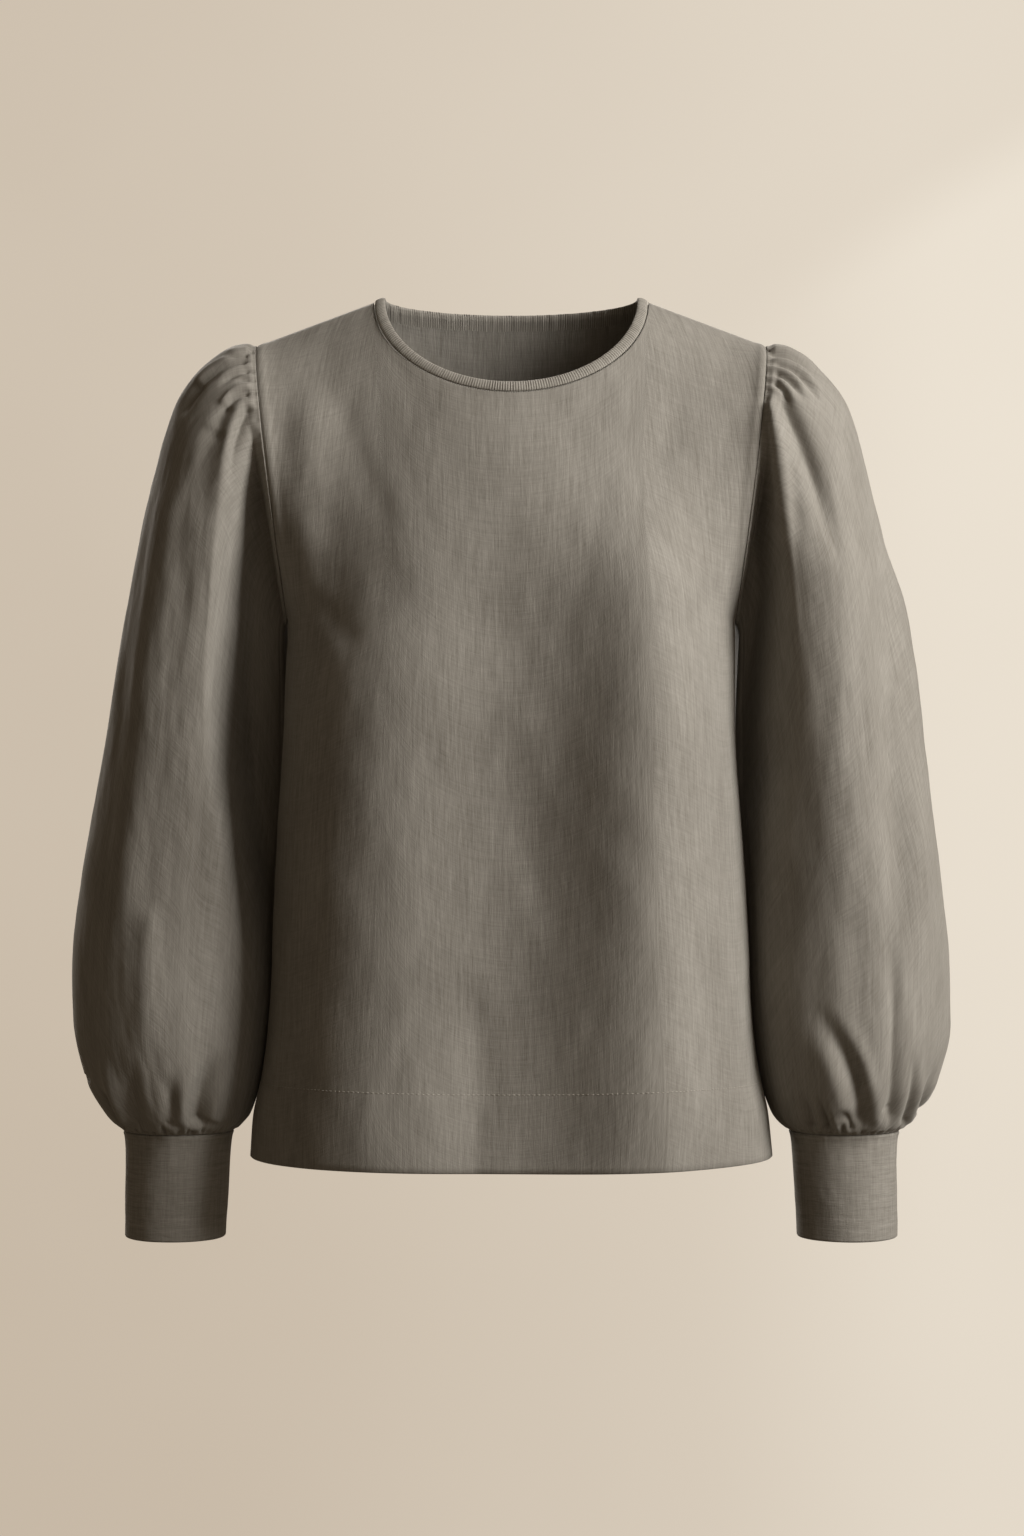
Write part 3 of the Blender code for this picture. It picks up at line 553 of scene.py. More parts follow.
def cloth_sheet(name, points, thread, joined, thickness):
    """A sheet of cloth through a grid of points, with its thread coordinates in metres.

    A joined sheet is a tube whose last column lies on its first.
    """
    rows, columns = points.shape[:2]
    sheet = bmesh.new()
    bmesh.ops.create_grid(sheet, x_segments=columns - 1, y_segments=rows - 1, size=1.0)
    mesh = bpy.data.meshes.new(name)
    sheet.to_mesh(mesh)
    mesh.vertices.foreach_set("co", points.astype(np.float32).ravel())
    corners = np.zeros(len(mesh.loops), int)
    mesh.loops.foreach_get("vertex_index", corners)
    threads = mesh.uv_layers.new(name="thread")
    threads.uv.foreach_set("vector", thread.reshape(-1, 2)[corners].astype(np.float32).ravel())
    sheet.free()
    sheet = bmesh.new()
    sheet.from_mesh(mesh)
    if joined:
        ends = [vertex for vertex in sheet.verts if vertex.is_boundary]
        bmesh.ops.remove_doubles(sheet, verts=ends, dist=1e-6)
    bmesh.ops.recalc_face_normals(sheet, faces=list(sheet.faces))
    sheet.to_mesh(mesh)
    sheet.free()
    mesh.shade_smooth()
    piece = placed(name, mesh)
    if thickness:
        wall = piece.modifiers.new("wall", "SOLIDIFY")
        wall.thickness = thickness
        wall.offset = -1.0
        wall.use_even_offset = False
    return piece


def face_outward(piece, outward_of_face):
    """Turns the sheet over if its middle face points against the given direction."""
    mesh = piece.data
    middle = mesh.polygons[len(mesh.polygons) // 2]
    if middle.normal.dot(Vector(outward_of_face)) < 0:
        turned = bmesh.new()
        turned.from_mesh(mesh)
        bmesh.ops.reverse_faces(turned, faces=list(turned.faces))
        turned.to_mesh(mesh)
        turned.free()


def panel_columns(side):
    """Where the panel's columns start along the neck and the shoulder seam, from its middle out."""
    fine = 3000
    angle = np.linspace(0.0, np.pi / 2, fine)
    neck_x, neck_z = neck_edge(side, angle, BINDING_WIDTH + NECK_SEAM_GAP)
    seam_x = np.linspace(neck_x[-1], TIP_X, fine)[1:]
    top_x = np.concatenate([neck_x, seam_x])
    top_z = np.concatenate([neck_z, shoulder_height(seam_x)])
    waist_x = top_x / TIP_X * side_reach(np.array(WAIST_Z))
    waist_y = torso_depth(side, waist_x, np.full_like(waist_x, WAIST_Z))
    along_top = np.concatenate([[0.0], np.cumsum(np.hypot(np.diff(top_x), np.diff(top_z)))])
    along_waist = np.concatenate([[0.0], np.cumsum(np.hypot(np.diff(waist_x), np.diff(waist_y)))])
    share = even_spread(TOP_WEIGHT * along_top + along_waist, PANEL_COLUMNS // 2 + 1)
    place = share * (len(top_x) - 1)
    known = np.arange(len(top_x))
    top_x = np.interp(place, known, top_x)
    top_z = np.interp(place, known, top_z)
    return np.concatenate([-top_x[:0:-1], top_x]), np.concatenate([top_z[:0:-1], top_z])


def panel(side):
    """The front or back: rows run from the neck and shoulders over the hem and up inside it."""
    top_x, top_z = panel_columns(side)
    share = np.linspace(0.0, 1.0, PANEL_ROWS)
    down = ROW_BUNCHING * share**2 + (1.0 - ROW_BUNCHING) * share
    turn = np.linspace(0.0, np.pi, HEM_TURN_ROWS + 1)[1:]
    inside = np.linspace(0.0, HEM_DEPTH, HEM_INSIDE_ROWS + 1)[1:]
    inset = np.concatenate([0 * down, FOLD_RADIUS * (1 - np.cos(turn)), 0 * inside + 2 * FOLD_RADIUS])
    sink = np.concatenate([0 * down, FOLD_RADIUS * np.sin(turn), 0 * inside])
    climb = np.concatenate([0 * down, 0 * turn, inside])
    fallen = np.concatenate([down, 0 * turn + 1.0, 0 * inside + 1.0])
    foot = HEM_Z + FOLD_RADIUS
    z = top_z + fallen[:, None] * (foot - top_z) + climb[:, None]
    level = TIP_Z + (z - top_z) / (foot - top_z) * (foot - TIP_Z)
    x = side_reach(level) * (top_x / TIP_X)

    points, facing = torso_faces(side, x, z)
    on_side = np.zeros(x.shape, bool)
    on_side[:, [0, -1]] = level[:, [0, -1]] <= UNDERARM_Z
    on_shoulder = np.zeros(x.shape, bool)
    on_shoulder[0] = np.abs(top_x) >= NECK_HALF_WIDTH + BINDING_WIDTH
    points[on_side | on_shoulder, 1] = 0.5 * FORWARD[side] * SEAM_GAP
    facing[on_side] = np.stack([np.sign(x), 0 * x, 0 * x], axis=-1)[on_side]
    facing[on_shoulder] = unit(
        np.stack([np.sign(x) * SHOULDER_SLOPE, 0 * x, 0 * x + 1.0], axis=-1)
    )[on_shoulder]

    from_middle = run_lengths(points, 1)
    from_middle -= from_middle[:, [x.shape[1] // 2]]
    from_top = run_lengths(points, 0)
    from_side = np.minimum(from_middle - from_middle[:, :1], from_middle[:, -1:] - from_middle)

    heights = fold_heights(x, z, PANEL_FOLDS[side], *PANEL_FADING)
    lower = smooth_step((LOWER_BODY[0] - z) / LOWER_BODY[1])
    for place, (rise, added, slant, *cell) in enumerate(PANEL_CRUMPLES):
        cloth = crumple(x + slant * z, z, *cell, PANEL_SEED[side] + place)
        heights += (rise + added * lower) * cloth
    start, run = PANEL_TOP_FADING[side]
    heights *= smooth_step(from_side / SIDE_FADING) * smooth_step((from_top + start) / run)
    heights += ridge(from_side, *SIDE_SEAM_GROOVE)
    heights += ridge(from_side, *SIDE_SEAM_RIDGE) * (z > HEM_Z + 0.01)

    below_edge = smooth_step((HEM_EDGE_Z + 0.0004 - z) / 0.0010)
    hem = (HEM_STEP * below_edge + ridge(z, *HEM_GROOVE)) * smooth_step(from_side / 0.01)
    heights += (inset == 0)[:, None] * hem
    points = points + facing * (heights - inset[:, None])[..., None]
    points[..., 2] -= sink[:, None]

    thread = np.stack([from_middle, from_top], axis=-1)
    piece = cloth_sheet(side + "_panel", points, thread, False, CLOTH_THICKNESS)
    face_outward(piece, (0.0, FORWARD[side], 0.0))
    return piece, points, facing, z


def gathered_end(angle, distance, gathers, seed):
    """A low puff beside a gathered seam, cut by uneven valleys that run in from the seam."""
    made = np.random.default_rng(seed)
    count = gathers["count"]
    spots = np.linspace(-1.0, 1.0, count) + made.uniform(-0.7, 0.7, count) / count
    deepest = np.zeros_like(angle)
    for spot in gathers["spread"] * spots:
        length = made.uniform(*gathers["lengths"]) * made.uniform(0.4, 1.0)
        depth = made.uniform(*gathers["depths"])
        width = made.uniform(*gathers["widths"])
        drift = made.uniform(-VALLEY_DRIFT, VALLEY_DRIFT)
        apart = np.angle(np.exp(1j * (angle - spot - drift * distance)))
        widening = width * (1.0 + VALLEY_WIDENING * distance / length)
        along = smooth_step((length - distance) / (VALLEY_END * length))
        valley = np.exp(-(np.abs(apart / widening) ** VALLEY_SHARPNESS))
        deepest = np.maximum(deepest, depth * along * valley)
    puff = gathers["puff"] * smooth_step(distance / gathers["puff_start"])
    puff = puff * np.exp(-distance / gathers["puff_run"])
    return puff - deepest * smooth_step(distance / gathers["start"])


def sleeve_facing(points):
    """The directions that point out of the sleeve, kept within the seam's plane at each end."""
    ring = points[:, :-1]
    round_it = np.roll(ring, -1, axis=1) - np.roll(ring, 1, axis=1)
    facing = unit(np.cross(round_it, np.gradient(ring, axis=0)))
    facing[0] = unit(facing[0] - (facing[0] @ ARMHOLE_OUTWARD)[:, None] * ARMHOLE_OUTWARD)
    facing[-1] = unit(facing[-1] * (1.0, 1.0, 0.0))
    return np.concatenate([facing, facing[:, :1]], axis=1)


def sleeve_form(hand):
    """The sleeve's smooth form with its tuck, as points, their angles and the share of the way round."""
    rings = np.array(SLEEVE_RINGS) / 1000
    middles = 0.5 * (rings[:, 0:2] + rings[:, 2:4])
    rim = np.linalg.norm(np.diff(rings[:, 0:2], axis=0), axis=1)
    core = np.linalg.norm(np.diff(middles, axis=0), axis=1)
    knots = np.concatenate([[0.0], np.cumsum(0.5 * rim + 0.5 * core)])
    share = np.linspace(0.0, 1.0, SLEEVE_ROWS)
    at = knots[-1] * (share - ROW_CROWDING * np.sin(2 * np.pi * share))
    outer_x, outer_z, inner_x, inner_z, front, back, behind = (
        smooth_reading(at, knots, column)[:, None] for column in rings.T
    )
    turn = np.linspace(np.pi, 3 * np.pi, SLEEVE_COLUMNS + 1)[None, :]
    angle = turn - COLUMN_CROWDING * np.sin(turn - CROWDED_ANGLE)

    in_front = np.sin(angle) > 0
    reach = np.where(in_front, front, back)
    across = 0.5 * (outer_x + inner_x) + 0.5 * (outer_x - inner_x) * np.cos(angle)
    height = 0.5 * (outer_z + inner_z) + 0.5 * (outer_z - inner_z) * np.cos(angle)

    edge = smooth_reading(height, SLEEVE_TUCK["z"], SLEEVE_TUCK["out"])
    tucked = smooth_reading(height, SLEEVE_TUCK["z"], SLEEVE_TUCK["share"])
    high = smooth_step((height - SWEEP_CHANGE[0]) / (SWEEP_CHANGE[1] - SWEEP_CHANGE[0]))
    start, run, power = (low + (top - low) * high for low, top in TUCK_SWEEP[hand].values())
    tucked *= smooth_step((edge + start - across) / run) ** power
    tucked *= in_front * smooth_step(at / knots[1])[:, None]
    behind_body = np.sin(2 * angle) ** 2 * (np.sin(angle) < 0) * (np.cos(angle) < 0)
    across -= smooth_reading(height, SLEEVE_LEAN["z"], SLEEVE_LEAN["inward"]) * behind_body
    points = np.stack([across, behind - reach * np.sin(angle) * (1.0 - tucked), height], axis=-1)
    even = 0 * height
    return points, angle + even, (turn - np.pi) / (2 * np.pi) + even


def sleeve(hand):
    """A full sleeve gathered into the armhole and the cuff."""
    points, angle, round_share = sleeve_form(hand)
    from_armhole = run_lengths(points, 0)
    from_cuff = from_armhole[-1] - from_armhole
    seed = SLEEVE_SEED[hand]

    in_front = smooth_step(0.5 + 2.5 * np.sin(angle))
    heights = np.zeros_like(angle)
    for face, share in (("front", in_front), ("back", 1 - in_front)):
        folds = SLEEVE_FOLDS[hand, face]
        heights += share * fold_heights(points[..., 0], points[..., 2], folds, *SLEEVE_FADING)

    from_top = np.arccos(np.clip(np.cos(angle), -1.0, 1.0))
    on_cap = smooth_step((CAP_END - from_top) / CAP_FADING)
    heights += on_cap * gathered_end(angle, from_armhole, CAP_GATHERS, seed + 1)
    heights += gathered_end(angle, from_cuff, CUFF_GATHERS, seed + 2)

    middle = smooth_step(from_armhole / CALM_END_RUN) * smooth_step(from_cuff / CALM_END_RUN)
    for place, (rise, count, cell, calm_ends) in enumerate(SLEEVE_CRUMPLES):
        cloth = crumple(round_share * count, from_armhole, 1.0, cell, seed + 3 + place, count)
        heights += rise * (middle if calm_ends else 1.0) * cloth
    armhole_run, cuff_run = SLEEVE_END_RUNS
    heights *= smooth_step(from_armhole / armhole_run) * smooth_step(from_cuff / cuff_run)
    near_underarm = smooth_step((-np.cos(angle) - 0.80) / 0.15) * smooth_step(from_cuff / 0.08)
    heights *= 1.0 - UNDERARM_CALM * near_underarm
    from_seam = np.minimum(round_share, 1.0 - round_share) * SLEEVE_GIRTH
    heights += ridge(from_seam, *SLEEVE_SEAM_GROOVE) * smooth_step(from_armhole / 0.01)

    points = points + sleeve_facing(points) * heights[..., None]
    points[0] += SEAM_GAP * ARMHOLE_OUTWARD
    points[:, -1] = points[:, 0]
    points[..., 0] *= OUTWARD[hand]
    thread = np.stack([round_share * SLEEVE_GIRTH, from_armhole], axis=-1)
    return cloth_sheet(hand + "_sleeve", points, thread, True, CLOTH_THICKNESS)


def section_ring(name, rings, across):
    """A closed ring-shaped piece: each row goes round, and the rows close on themselves."""
    rings[:, -1] = rings[:, 0]
    down = run_lengths(rings, 0)
    thread = np.stack([across + 0 * down, down], axis=-1)
    last = 2 * thread[-1:] - thread[-2:-1]
    return cloth_sheet(
        name, np.concatenate([rings, rings[:1]]), np.concatenate([thread, last]), True, 0.0
    )


def cuff(hand):
    """A deep closed cuff: a band folded at its foot, with the gathered seam rolled in at its top."""
    angle = np.linspace(np.pi, 3 * np.pi, CUFF_COLUMNS + 1)[None, :]
    round_share = (angle - np.pi) / (2 * np.pi)
    height = CUFF_TOP["z"] - CUFF_FOOT["z"]
    outside = np.linspace(0.0, 1.0, CUFF_OUTSIDE_ROWS)
    inside = np.linspace(1.0, 0.0, CUFF_INSIDE_ROWS)
    foot = np.linspace(0.0, np.pi, CUFF_FOOT_ROWS + 2)[1:-1]
    down = np.concatenate([outside, 1.0 + 0.5 * CUFF_WALL / height * np.sin(foot), inside])[:, None]
    inset = np.concatenate([0 * outside, 0.5 * CUFF_WALL * (1 - np.cos(foot)), 0 * inside + CUFF_WALL])
    inset = inset[:, None]
    outer = inset == 0

    around = round_share + 0 * down
    along = down * height + 0 * angle
    seed = CUFF_SEED[hand]
    layers = []
    for place, (rise, count, cell) in enumerate((*CUFF_CRUMPLES, CUFF_PUCKER)):
        layers.append(rise * crumple(around * count, along, 1.0, cell, seed + place, count))
    flare_rise, flare_reach = CUFF_FLARE
    flare = flare_rise * np.exp(-down / flare_reach)
    roll = ridge(down, *CUFF_RIDGE) + ridge(down, *CUFF_GROOVE)
    from_seam = np.minimum(round_share, 1 - round_share) * CUFF_GIRTH
    pucker = layers.pop() * np.exp(-down / CUFF_PUCKER_REACH)
    relief = outer * (roll + pucker + ridge(from_seam, *CUFF_SEAM_GROOVE))

    x, y, z, radius = (CUFF_TOP[key] + down * (CUFF_FOOT[key] - CUFF_TOP[key]) for key in CUFF_TOP)
    reach = radius - inset + flare + sum(layers) + relief
    x = OUTWARD[hand] * (x + reach * np.cos(angle))
    rings = np.stack([x, y - reach * np.sin(angle), z + 0 * angle], axis=-1)
    return section_ring(hand + "_cuff", rings, around * CUFF_GIRTH)


def neck_band():
    """A rounded ribbed band folded over the neck's edge, deeper inside the back of the neck."""
    fine = np.linspace(0.0, 2 * np.pi, 6001)
    middle_line = np.zeros((len(fine), 3))
    for side, here in (("front", np.cos(fine) >= 0), ("back", np.cos(fine) < 0)):
        middle_line[here] = torso_faces(side, *neck_edge(side, fine[here], 0.5 * BINDING_WIDTH))[0]
    along = run_lengths(middle_line[None], 1)[0]
    run = np.linspace(0.0, along[-1], BAND_COLUMNS + 1)
    turn = np.interp(run, along, fine)
    rib_count = round(along[-1] / RIB_PITCH) * run / along[-1]
    wander, wear, fine_gathers, wide_gathers = (
        crumple(run, 0 * run, cell, 1.0, BAND_SEED + place) for place, cell in enumerate(BAND_CELLS)
    )
    rib_count = rib_count + RIB_WANDER * wander
    rib = np.cos(2 * np.pi * rib_count) * (1.0 - RIB_UNEVENNESS + RIB_UNEVENNESS * wear)
    gathers = fine_gathers + 0.6 * wide_gathers

    swing = np.linspace(0.0, 2 * np.pi, BAND_ROWS + 1)[:-1]
    squared = np.sign(np.cos(swing)) * np.abs(np.cos(swing)) ** BAND_ROLL["squareness"]
    roll_out = 0.5 * BINDING_WIDTH * (1.0 + squared)
    roll_height = BAND_ROLL["height"] * np.sin(swing)
    roll_height = np.where(roll_height > 0, BAND_ROLL["outer_share"] * roll_height, roll_height)
    roll_height -= BAND_ROLL["sink"]
    facing_share = np.clip((swing - np.pi) / (0.8 * np.pi), 0.0, 1.0)
    returned = np.clip((swing - 1.8 * np.pi) / (0.2 * np.pi), 0.0, 1.0)
    facing_out = FACING_DEPTH * facing_share - (FACING_DEPTH - BINDING_WIDTH - 0.0002) * returned
    facing_top, facing_foot = FACING_HEIGHT
    facing_height = facing_top * smooth_step(4.0 * facing_share) + facing_foot * facing_share**2
    at_back = smooth_step((-np.cos(turn) - FACING_START[0]) / FACING_START[1])

    rings = np.zeros((BAND_ROWS, len(turn), 3))
    for place, swung in enumerate(swing):
        relief = roll_height[place] + RIB_RELIEF["outside"] * max(0.0, np.sin(swung) + 0.3) * rib
        outset = np.full_like(turn, roll_out[place])
        inner = swung >= np.pi
        if inner:
            ribbed = (RIB_RELIEF["inside"] * rib + GATHER_RELIEF * gathers) * (1.0 - facing_share[place])
            relief = relief * (1.0 - at_back) + (facing_height[place] - ribbed) * at_back
            outset = outset * (1.0 - at_back) + facing_out[place] * at_back
        for side, here in (("front", np.cos(turn) >= 0), ("back", np.cos(turn) < 0)):
            x, z = neck_edge(side, turn[here], outset[here])
            if inner:
                edge_x, edge_z = neck_edge(side, turn[here], 0.0)
                x = x + (edge_x - x) * at_back[here]
                z = z + (edge_z - outset[here] - z) * at_back[here]
            points, facing = torso_faces(side, x, z)
            rings[place, here] = points + facing * relief[here, None]
    return section_ring("neck_band", rings, RIB_PITCH * rib_count)


def level_run(points, facing, z, height):
    """The run across a panel's face at one height."""
    run, out = [], []
    for column in range(points.shape[1]):
        row = np.interp(height, z[:PANEL_ROWS, column][::-1], np.arange(PANEL_ROWS)[::-1])
        low, share = int(row), row - int(row)
        run.append(points[low, column] * (1 - share) + points[low + 1, column] * share)
        out.append(facing[low, column])
    return np.array(run), np.array(out)


def stitch_row(name, points, facing, length, pitch, thickness):
    """Small stitches laid along a run of points, each sunk a little into the cloth."""
    run = run_lengths(points[None], 1)[0]
    size = Matrix.Diagonal((0.5 * length, 0.5 * thickness, 0.4 * thickness, 1.0))
    stitches = bmesh.new()
    for centre in np.arange(0.5 * pitch, run[-1], pitch):
        middle, ahead, behind, out = (
            np.array([np.interp(at, run, values[:, axis]) for axis in range(3)])
            for at, values in (
                (centre, points), (centre + 0.3 * length, points), (centre - 0.3 * length, points),
                (centre, facing),
            )
        )
        ahead = Vector(ahead - behind).normalized()
        side = Vector(out).cross(ahead).normalized()
        turned = Matrix((ahead, side, ahead.cross(side))).transposed().to_4x4()
        place = Matrix.Translation(Vector(middle + 0.15 * thickness * out))
        bmesh.ops.create_icosphere(stitches, subdivisions=1, radius=1.0, matrix=place @ turned @ size)
    mesh = bpy.data.meshes.new(name)
    stitches.to_mesh(mesh)
    stitches.free()
    mesh.shade_smooth()
    return placed(name, mesh)


def fill(tree, node, inputs):
    """Sets each input of a node to a value, or links it to another node's output."""
    for key, value in inputs.items():
        if isinstance(value, bpy.types.NodeSocket):
            tree.links.new(value, node.inputs[key])
        else:
            node.inputs[key].default_value = value


def add_node(tree, kind, inputs, **choices):
    node = tree.nodes.new(kind)
    for choice, value in choices.items():
        setattr(node, choice, value)
    fill(tree, node, inputs)
    return node


def new_finish(name, look):
    """A material with its node tree and its shader, which gets the given look."""
    material = bpy.data.materials.new(name)
    material.use_nodes = True
    tree = material.node_tree
    shader = tree.nodes["Principled BSDF"]
    fill(tree, shader, look)
    return material, tree, shader


def remapped(tree, value, low, high, first=0.0, last=1.0, interpolation="LINEAR"):
    """A value from low to high, spread from first to last."""
    spread = add_node(
        tree,
        "ShaderNodeMapRange",
        {"Value": value, "From Min": low, "From Max": high, "To Min": first, "To Max": last},
        interpolation_type=interpolation,
    )
    return spread.outputs["Result"]


def product(tree, first, second):
    return add_node(tree, "ShaderNodeMath", {0: first, 1: second}, operation="MULTIPLY").outputs["Value"]


def ramp(tree, tone, stops):
    """Colours by tone, from stops of a tone and its colour."""
    colours = add_node(tree, "ShaderNodeValToRGB", {"Fac": tone})
    for element, (place, colour) in zip(colours.color_ramp.elements, stops):
        element.position = place
        element.color = (*colour, 1.0)
    return colours.outputs["Color"]


def streaks(tree, threads, scale, seed, detail, roughness):
    """Uneven thread marks: noise stretched by the scale, across and along the cloth."""
    shift = (seed * 3.7, seed * 1.3, seed)
    lay = {"Vector": threads, "Location": shift, "Scale": (*scale, 1.0)}
    laid = add_node(tree, "ShaderNodeMapping", lay).outputs["Vector"]
    noise = {"Vector": laid, "Scale": 1.0, "Detail": detail, "Roughness": roughness}
    return add_node(tree, "ShaderNodeTexNoise", noise).outputs["Fac"]


def weighed(tree, parts):
    """The sum of several patterns, each by its own weight."""
    total = 0.0
    for pattern, weight in parts:
        terms = {0: pattern, 1: weight, 2: total}
        total = add_node(tree, "ShaderNodeMath", terms, operation="MULTIPLY_ADD").outputs["Value"]
    return total


def painted_rib_shade(tree, threads):
    """Even lines across the band: painted light on each rib and painted shade between."""
    parts = add_node(tree, "ShaderNodeSeparateXYZ", {"Vector": threads})
    turn = product(tree, parts.outputs["X"], 2 * np.pi / RIB_PITCH)
    wave = add_node(tree, "ShaderNodeMath", {0: turn}, operation="COSINE")
    return remapped(tree, wave.outputs["Value"], -1.0, 1.0)


def linen(name, dark, light, upright, level, rib=0.0):
    """Washed linen: uneven upright and level threads in colour, gloss and relief, a soft nap, and at a
    weight painted shade between ribs.
    """
    material, tree, shader = new_finish(name, LINEN_LOOK)
    threads = add_node(tree, "ShaderNodeUVMap", {}, uv_map="thread").outputs["UV"]
    shares = {"upright": upright, "level": level}
    tones, reliefs = [], []
    for way, scale, seed, detail, roughness, tone_weight, relief_weight in THREAD_MARKS:
        marks = streaks(tree, threads, scale, seed, detail, roughness)
        tones.append((marks, tone_weight * shares[way]))
        reliefs.append((marks, relief_weight * shares[way]))
    tones.append((streaks(tree, threads, *WASHED_MARKS), WASHED_WEIGHT))
    # The band's ribs in its colour: painted light on each rib and painted shade in the grooves between
    if rib:
        tones.append((painted_rib_shade(tree, threads), rib))
    middle = 0.5 * sum(weight for marks, weight in tones)
    tone = weighed(tree, tones)
    stops = ((middle - TONE_SPREAD, dark), (middle + TONE_SPREAD, light))
    gloss = remapped(tree, tone, middle - GLOSS_SPREAD, middle + GLOSS_SPREAD, *LINEN_ROUGHNESS)
    relief = add_node(tree, "ShaderNodeBump", {"Height": weighed(tree, reliefs), **LINEN_BUMP})
    fill(tree, shader, {
        "Base Color": ramp(tree, tone, stops), "Roughness": gloss, "Normal": relief.outputs["Normal"],
    })
    return material


def thread_finish(name, colour):
    """Sewing thread with a fine twist painted in its colour: diagonal bands of painted shade."""
    material, tree, shader = new_finish(name, {"Roughness": THREAD_ROUGHNESS})
    place = add_node(tree, "ShaderNodeTexCoord", {}).outputs["Object"]
    lay = {"Vector": place, **THREAD_TWIST}
    painted_twist_shade = add_node(tree, "ShaderNodeTexWave", lay, wave_type="BANDS", bands_direction="DIAGONAL")
    shade = [THREAD_PAINTED_SHADE * part for part in colour]
    stops = ((0.0, shade), (1.0, colour))
    fill(tree, shader, {"Base Color": ramp(tree, painted_twist_shade.outputs["Fac"], stops)})
    return material


def painted_light_wall(name):
    """Warm pale paper that glows with its own painted light, unlit by the lamps: painted shade deeper
    low down at one side, and a painted pool of light in a bright slant.
    """
    material, tree, shader = new_finish(name, WALL_LOOK)
    place = add_node(tree, "ShaderNodeTexCoord", {}).outputs["Object"]
    parts = add_node(tree, "ShaderNodeSeparateXYZ", {"Vector": place}).outputs
    slant = add_node(
        tree, "ShaderNodeVectorMath", {0: place, 1: WALL_PAINTED_SLANT["across"]}, operation="DOT_PRODUCT"
    )
    start, softness = WALL_PAINTED_SLANT["start"], WALL_PAINTED_SLANT["softness"]
    across, upward, painted_slant, reach = (
        remapped(tree, value, *spread, interpolation="SMOOTHSTEP")
        for value, spread in (
            (parts["X"], (-WALL_GLOW["half_width"], WALL_GLOW["half_width"])),
            (parts["Z"], (WALL_GLOW["foot"], WALL_GLOW["top"])),
            (slant.outputs["Value"], (start - softness, start + softness, 0.0, WALL_PAINTED_SLANT["rise"])),
            (parts["X"], (WALL_PAINTED_SLANT["reach_from"], WALL_PAINTED_SLANT["reach_to"])),
        )
    )
    grain = add_node(tree, "ShaderNodeTexNoise", {"Vector": place, **WALL_GRAIN}).outputs["Fac"]
    patterns = (across, upward, product(tree, painted_slant, reach), grain)
    tone = weighed(tree, zip(patterns, WALL_RISES))
    fill(tree, shader, {"Emission Color": ramp(tree, tone, ((0.0, WALL_PAINTED_SHADE), (1.0, WALL_PAINTED_LIGHT)))})
    return material


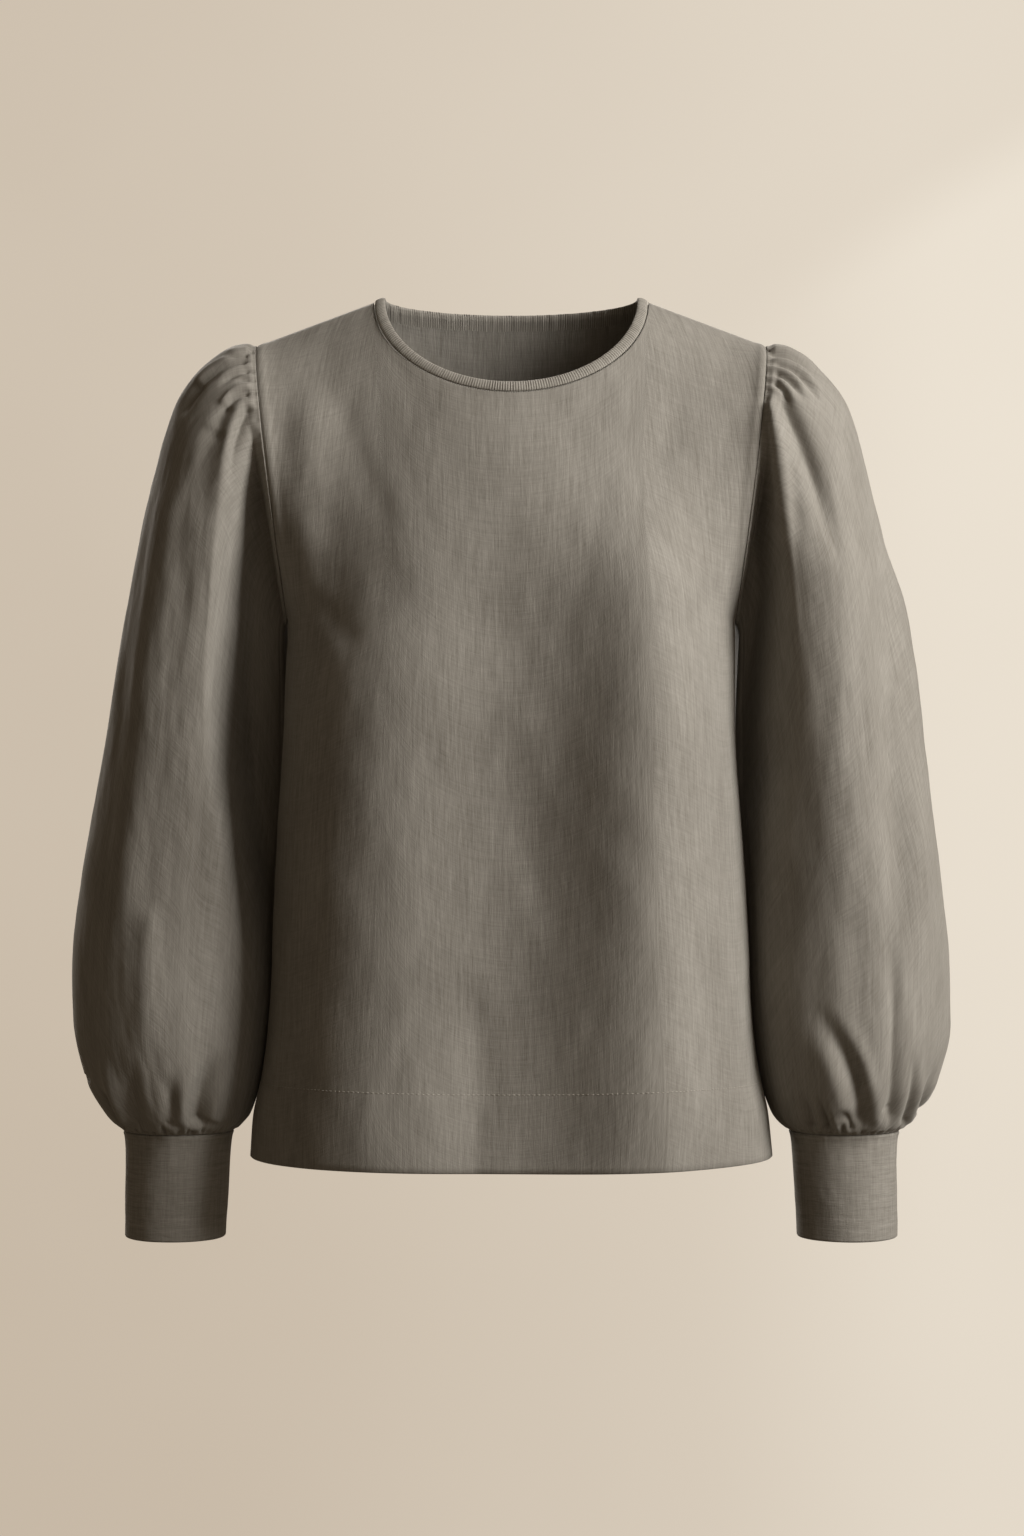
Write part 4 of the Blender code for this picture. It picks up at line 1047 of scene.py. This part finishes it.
def studio():
    """A plain pale room with a level floor, soft key light from the right, and the camera."""
    room = bmesh.new()
    bmesh.ops.create_uvsphere(room, u_segments=96, v_segments=64, radius=ROOM_RADIUS)
    for vertex in room.verts:
        vertex.co.z = max(vertex.co.z, FLOOR_Z)
    bmesh.ops.reverse_faces(room, faces=list(room.faces))
    mesh = bpy.data.meshes.new("studio_room")
    room.to_mesh(mesh)
    room.free()
    mesh.shade_smooth()
    # The room's paper glows with painted light and painted shade, and the lamps do not light it
    mesh.materials.append(painted_light_wall("studio_paper_painted_light"))
    wall = placed("studio_room", mesh)
    wall.visible_diffuse = False
    wall.visible_glossy = False
    wall.visible_shadow = False

    world = bpy.data.worlds.new("studio_air")
    world.use_nodes = True
    air = {"Color": AIR_COLOUR, "Strength": AIR_STRENGTH}
    fill(world.node_tree, world.node_tree.nodes["Background"], air)
    bpy.context.scene.world = world

    for name, spot, width, tall, power, colour in LAMPS:
        lamp = bpy.data.lights.new(name, "AREA")
        lamp.shape = "RECTANGLE"
        lamp.size = width
        lamp.size_y = tall
        lamp.energy = power
        lamp.color = colour
        holder = placed(name, lamp)
        holder.location = spot
        holder.rotation_euler = (Vector(spot) - Vector(LAMP_AIM)).to_track_quat("Z", "Y").to_euler()
        holder.visible_camera = False

    lens = bpy.data.cameras.new("camera")
    lens.lens = lens.sensor_width * CAMERA_DISTANCE / VIEW_HEIGHT
    lens.clip_end = 60.0
    camera = placed("camera", lens)
    camera.location = (CAMERA_X, -CAMERA_DISTANCE, CAMERA_Z)
    camera.rotation_euler = (np.pi / 2, 0.0, 0.0)
    bpy.context.scene.camera = camera


body_linen = linen("washed_linen_body", LINEN_DARK, LINEN_LIGHT, upright=1.0, level=0.45)
sleeve_linen = linen("washed_linen_sleeve", LINEN_DARK, LINEN_LIGHT, upright=0.8, level=0.65)
cuff_linen = linen("washed_linen_cuff", LINEN_DARK, LINEN_LIGHT, upright=0.7, level=0.85)
band_linen = linen("ribbed_neck_band", BAND_DARK, BAND_LIGHT, upright=0.9, level=0.2, rib=0.35)
sewing_thread = thread_finish("sewing_thread", SEWING_THREAD)
dark_thread = thread_finish("dark_sewing_thread", DARK_THREAD)

front_piece, *front_face = panel("front")
back_piece, *back_face = panel("back")
left_sleeve = sleeve("left")
right_sleeve = sleeve("right")
left_cuff = cuff("left")
right_cuff = cuff("right")
band = neck_band()

neck_turn = np.linspace(-0.5 * np.pi, 0.5 * np.pi, 401)
neck_run = torso_faces("front", *neck_edge("front", neck_turn, BINDING_WIDTH + NECK_STITCH_OUTSET))
neck_stitches = stitch_row("neck_stitches", *neck_run, **NECK_STITCH)
hem_stitches = [
    stitch_row(side + "_hem_stitches", *level_run(*face, HEM_STITCHES_Z), **HEM_STITCH)
    for side, face in (("front", front_face), ("back", back_face))
]

for piece, node, finish, slot in (
    (front_piece, "front", body_linen, "linen"),
    (back_piece, "back", body_linen, "linen"),
    (left_sleeve, "sleeve_left", sleeve_linen, "linen"),
    (right_sleeve, "sleeve_right", sleeve_linen, "linen"),
    (left_cuff, "cuff_left", cuff_linen, "linen"),
    (right_cuff, "cuff_right", cuff_linen, "linen"),
    (band, "neck_binding", band_linen, "binding"),
):
    piece.data.materials.append(finish)
    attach(piece, "root")
    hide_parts(node)
for piece in (neck_stitches, *hem_stitches):
    piece.data.materials.append(dark_thread if piece is neck_stitches else sewing_thread)
    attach(piece, "root")

studio()
bpy.context.scene.view_settings.view_transform = "Standard"
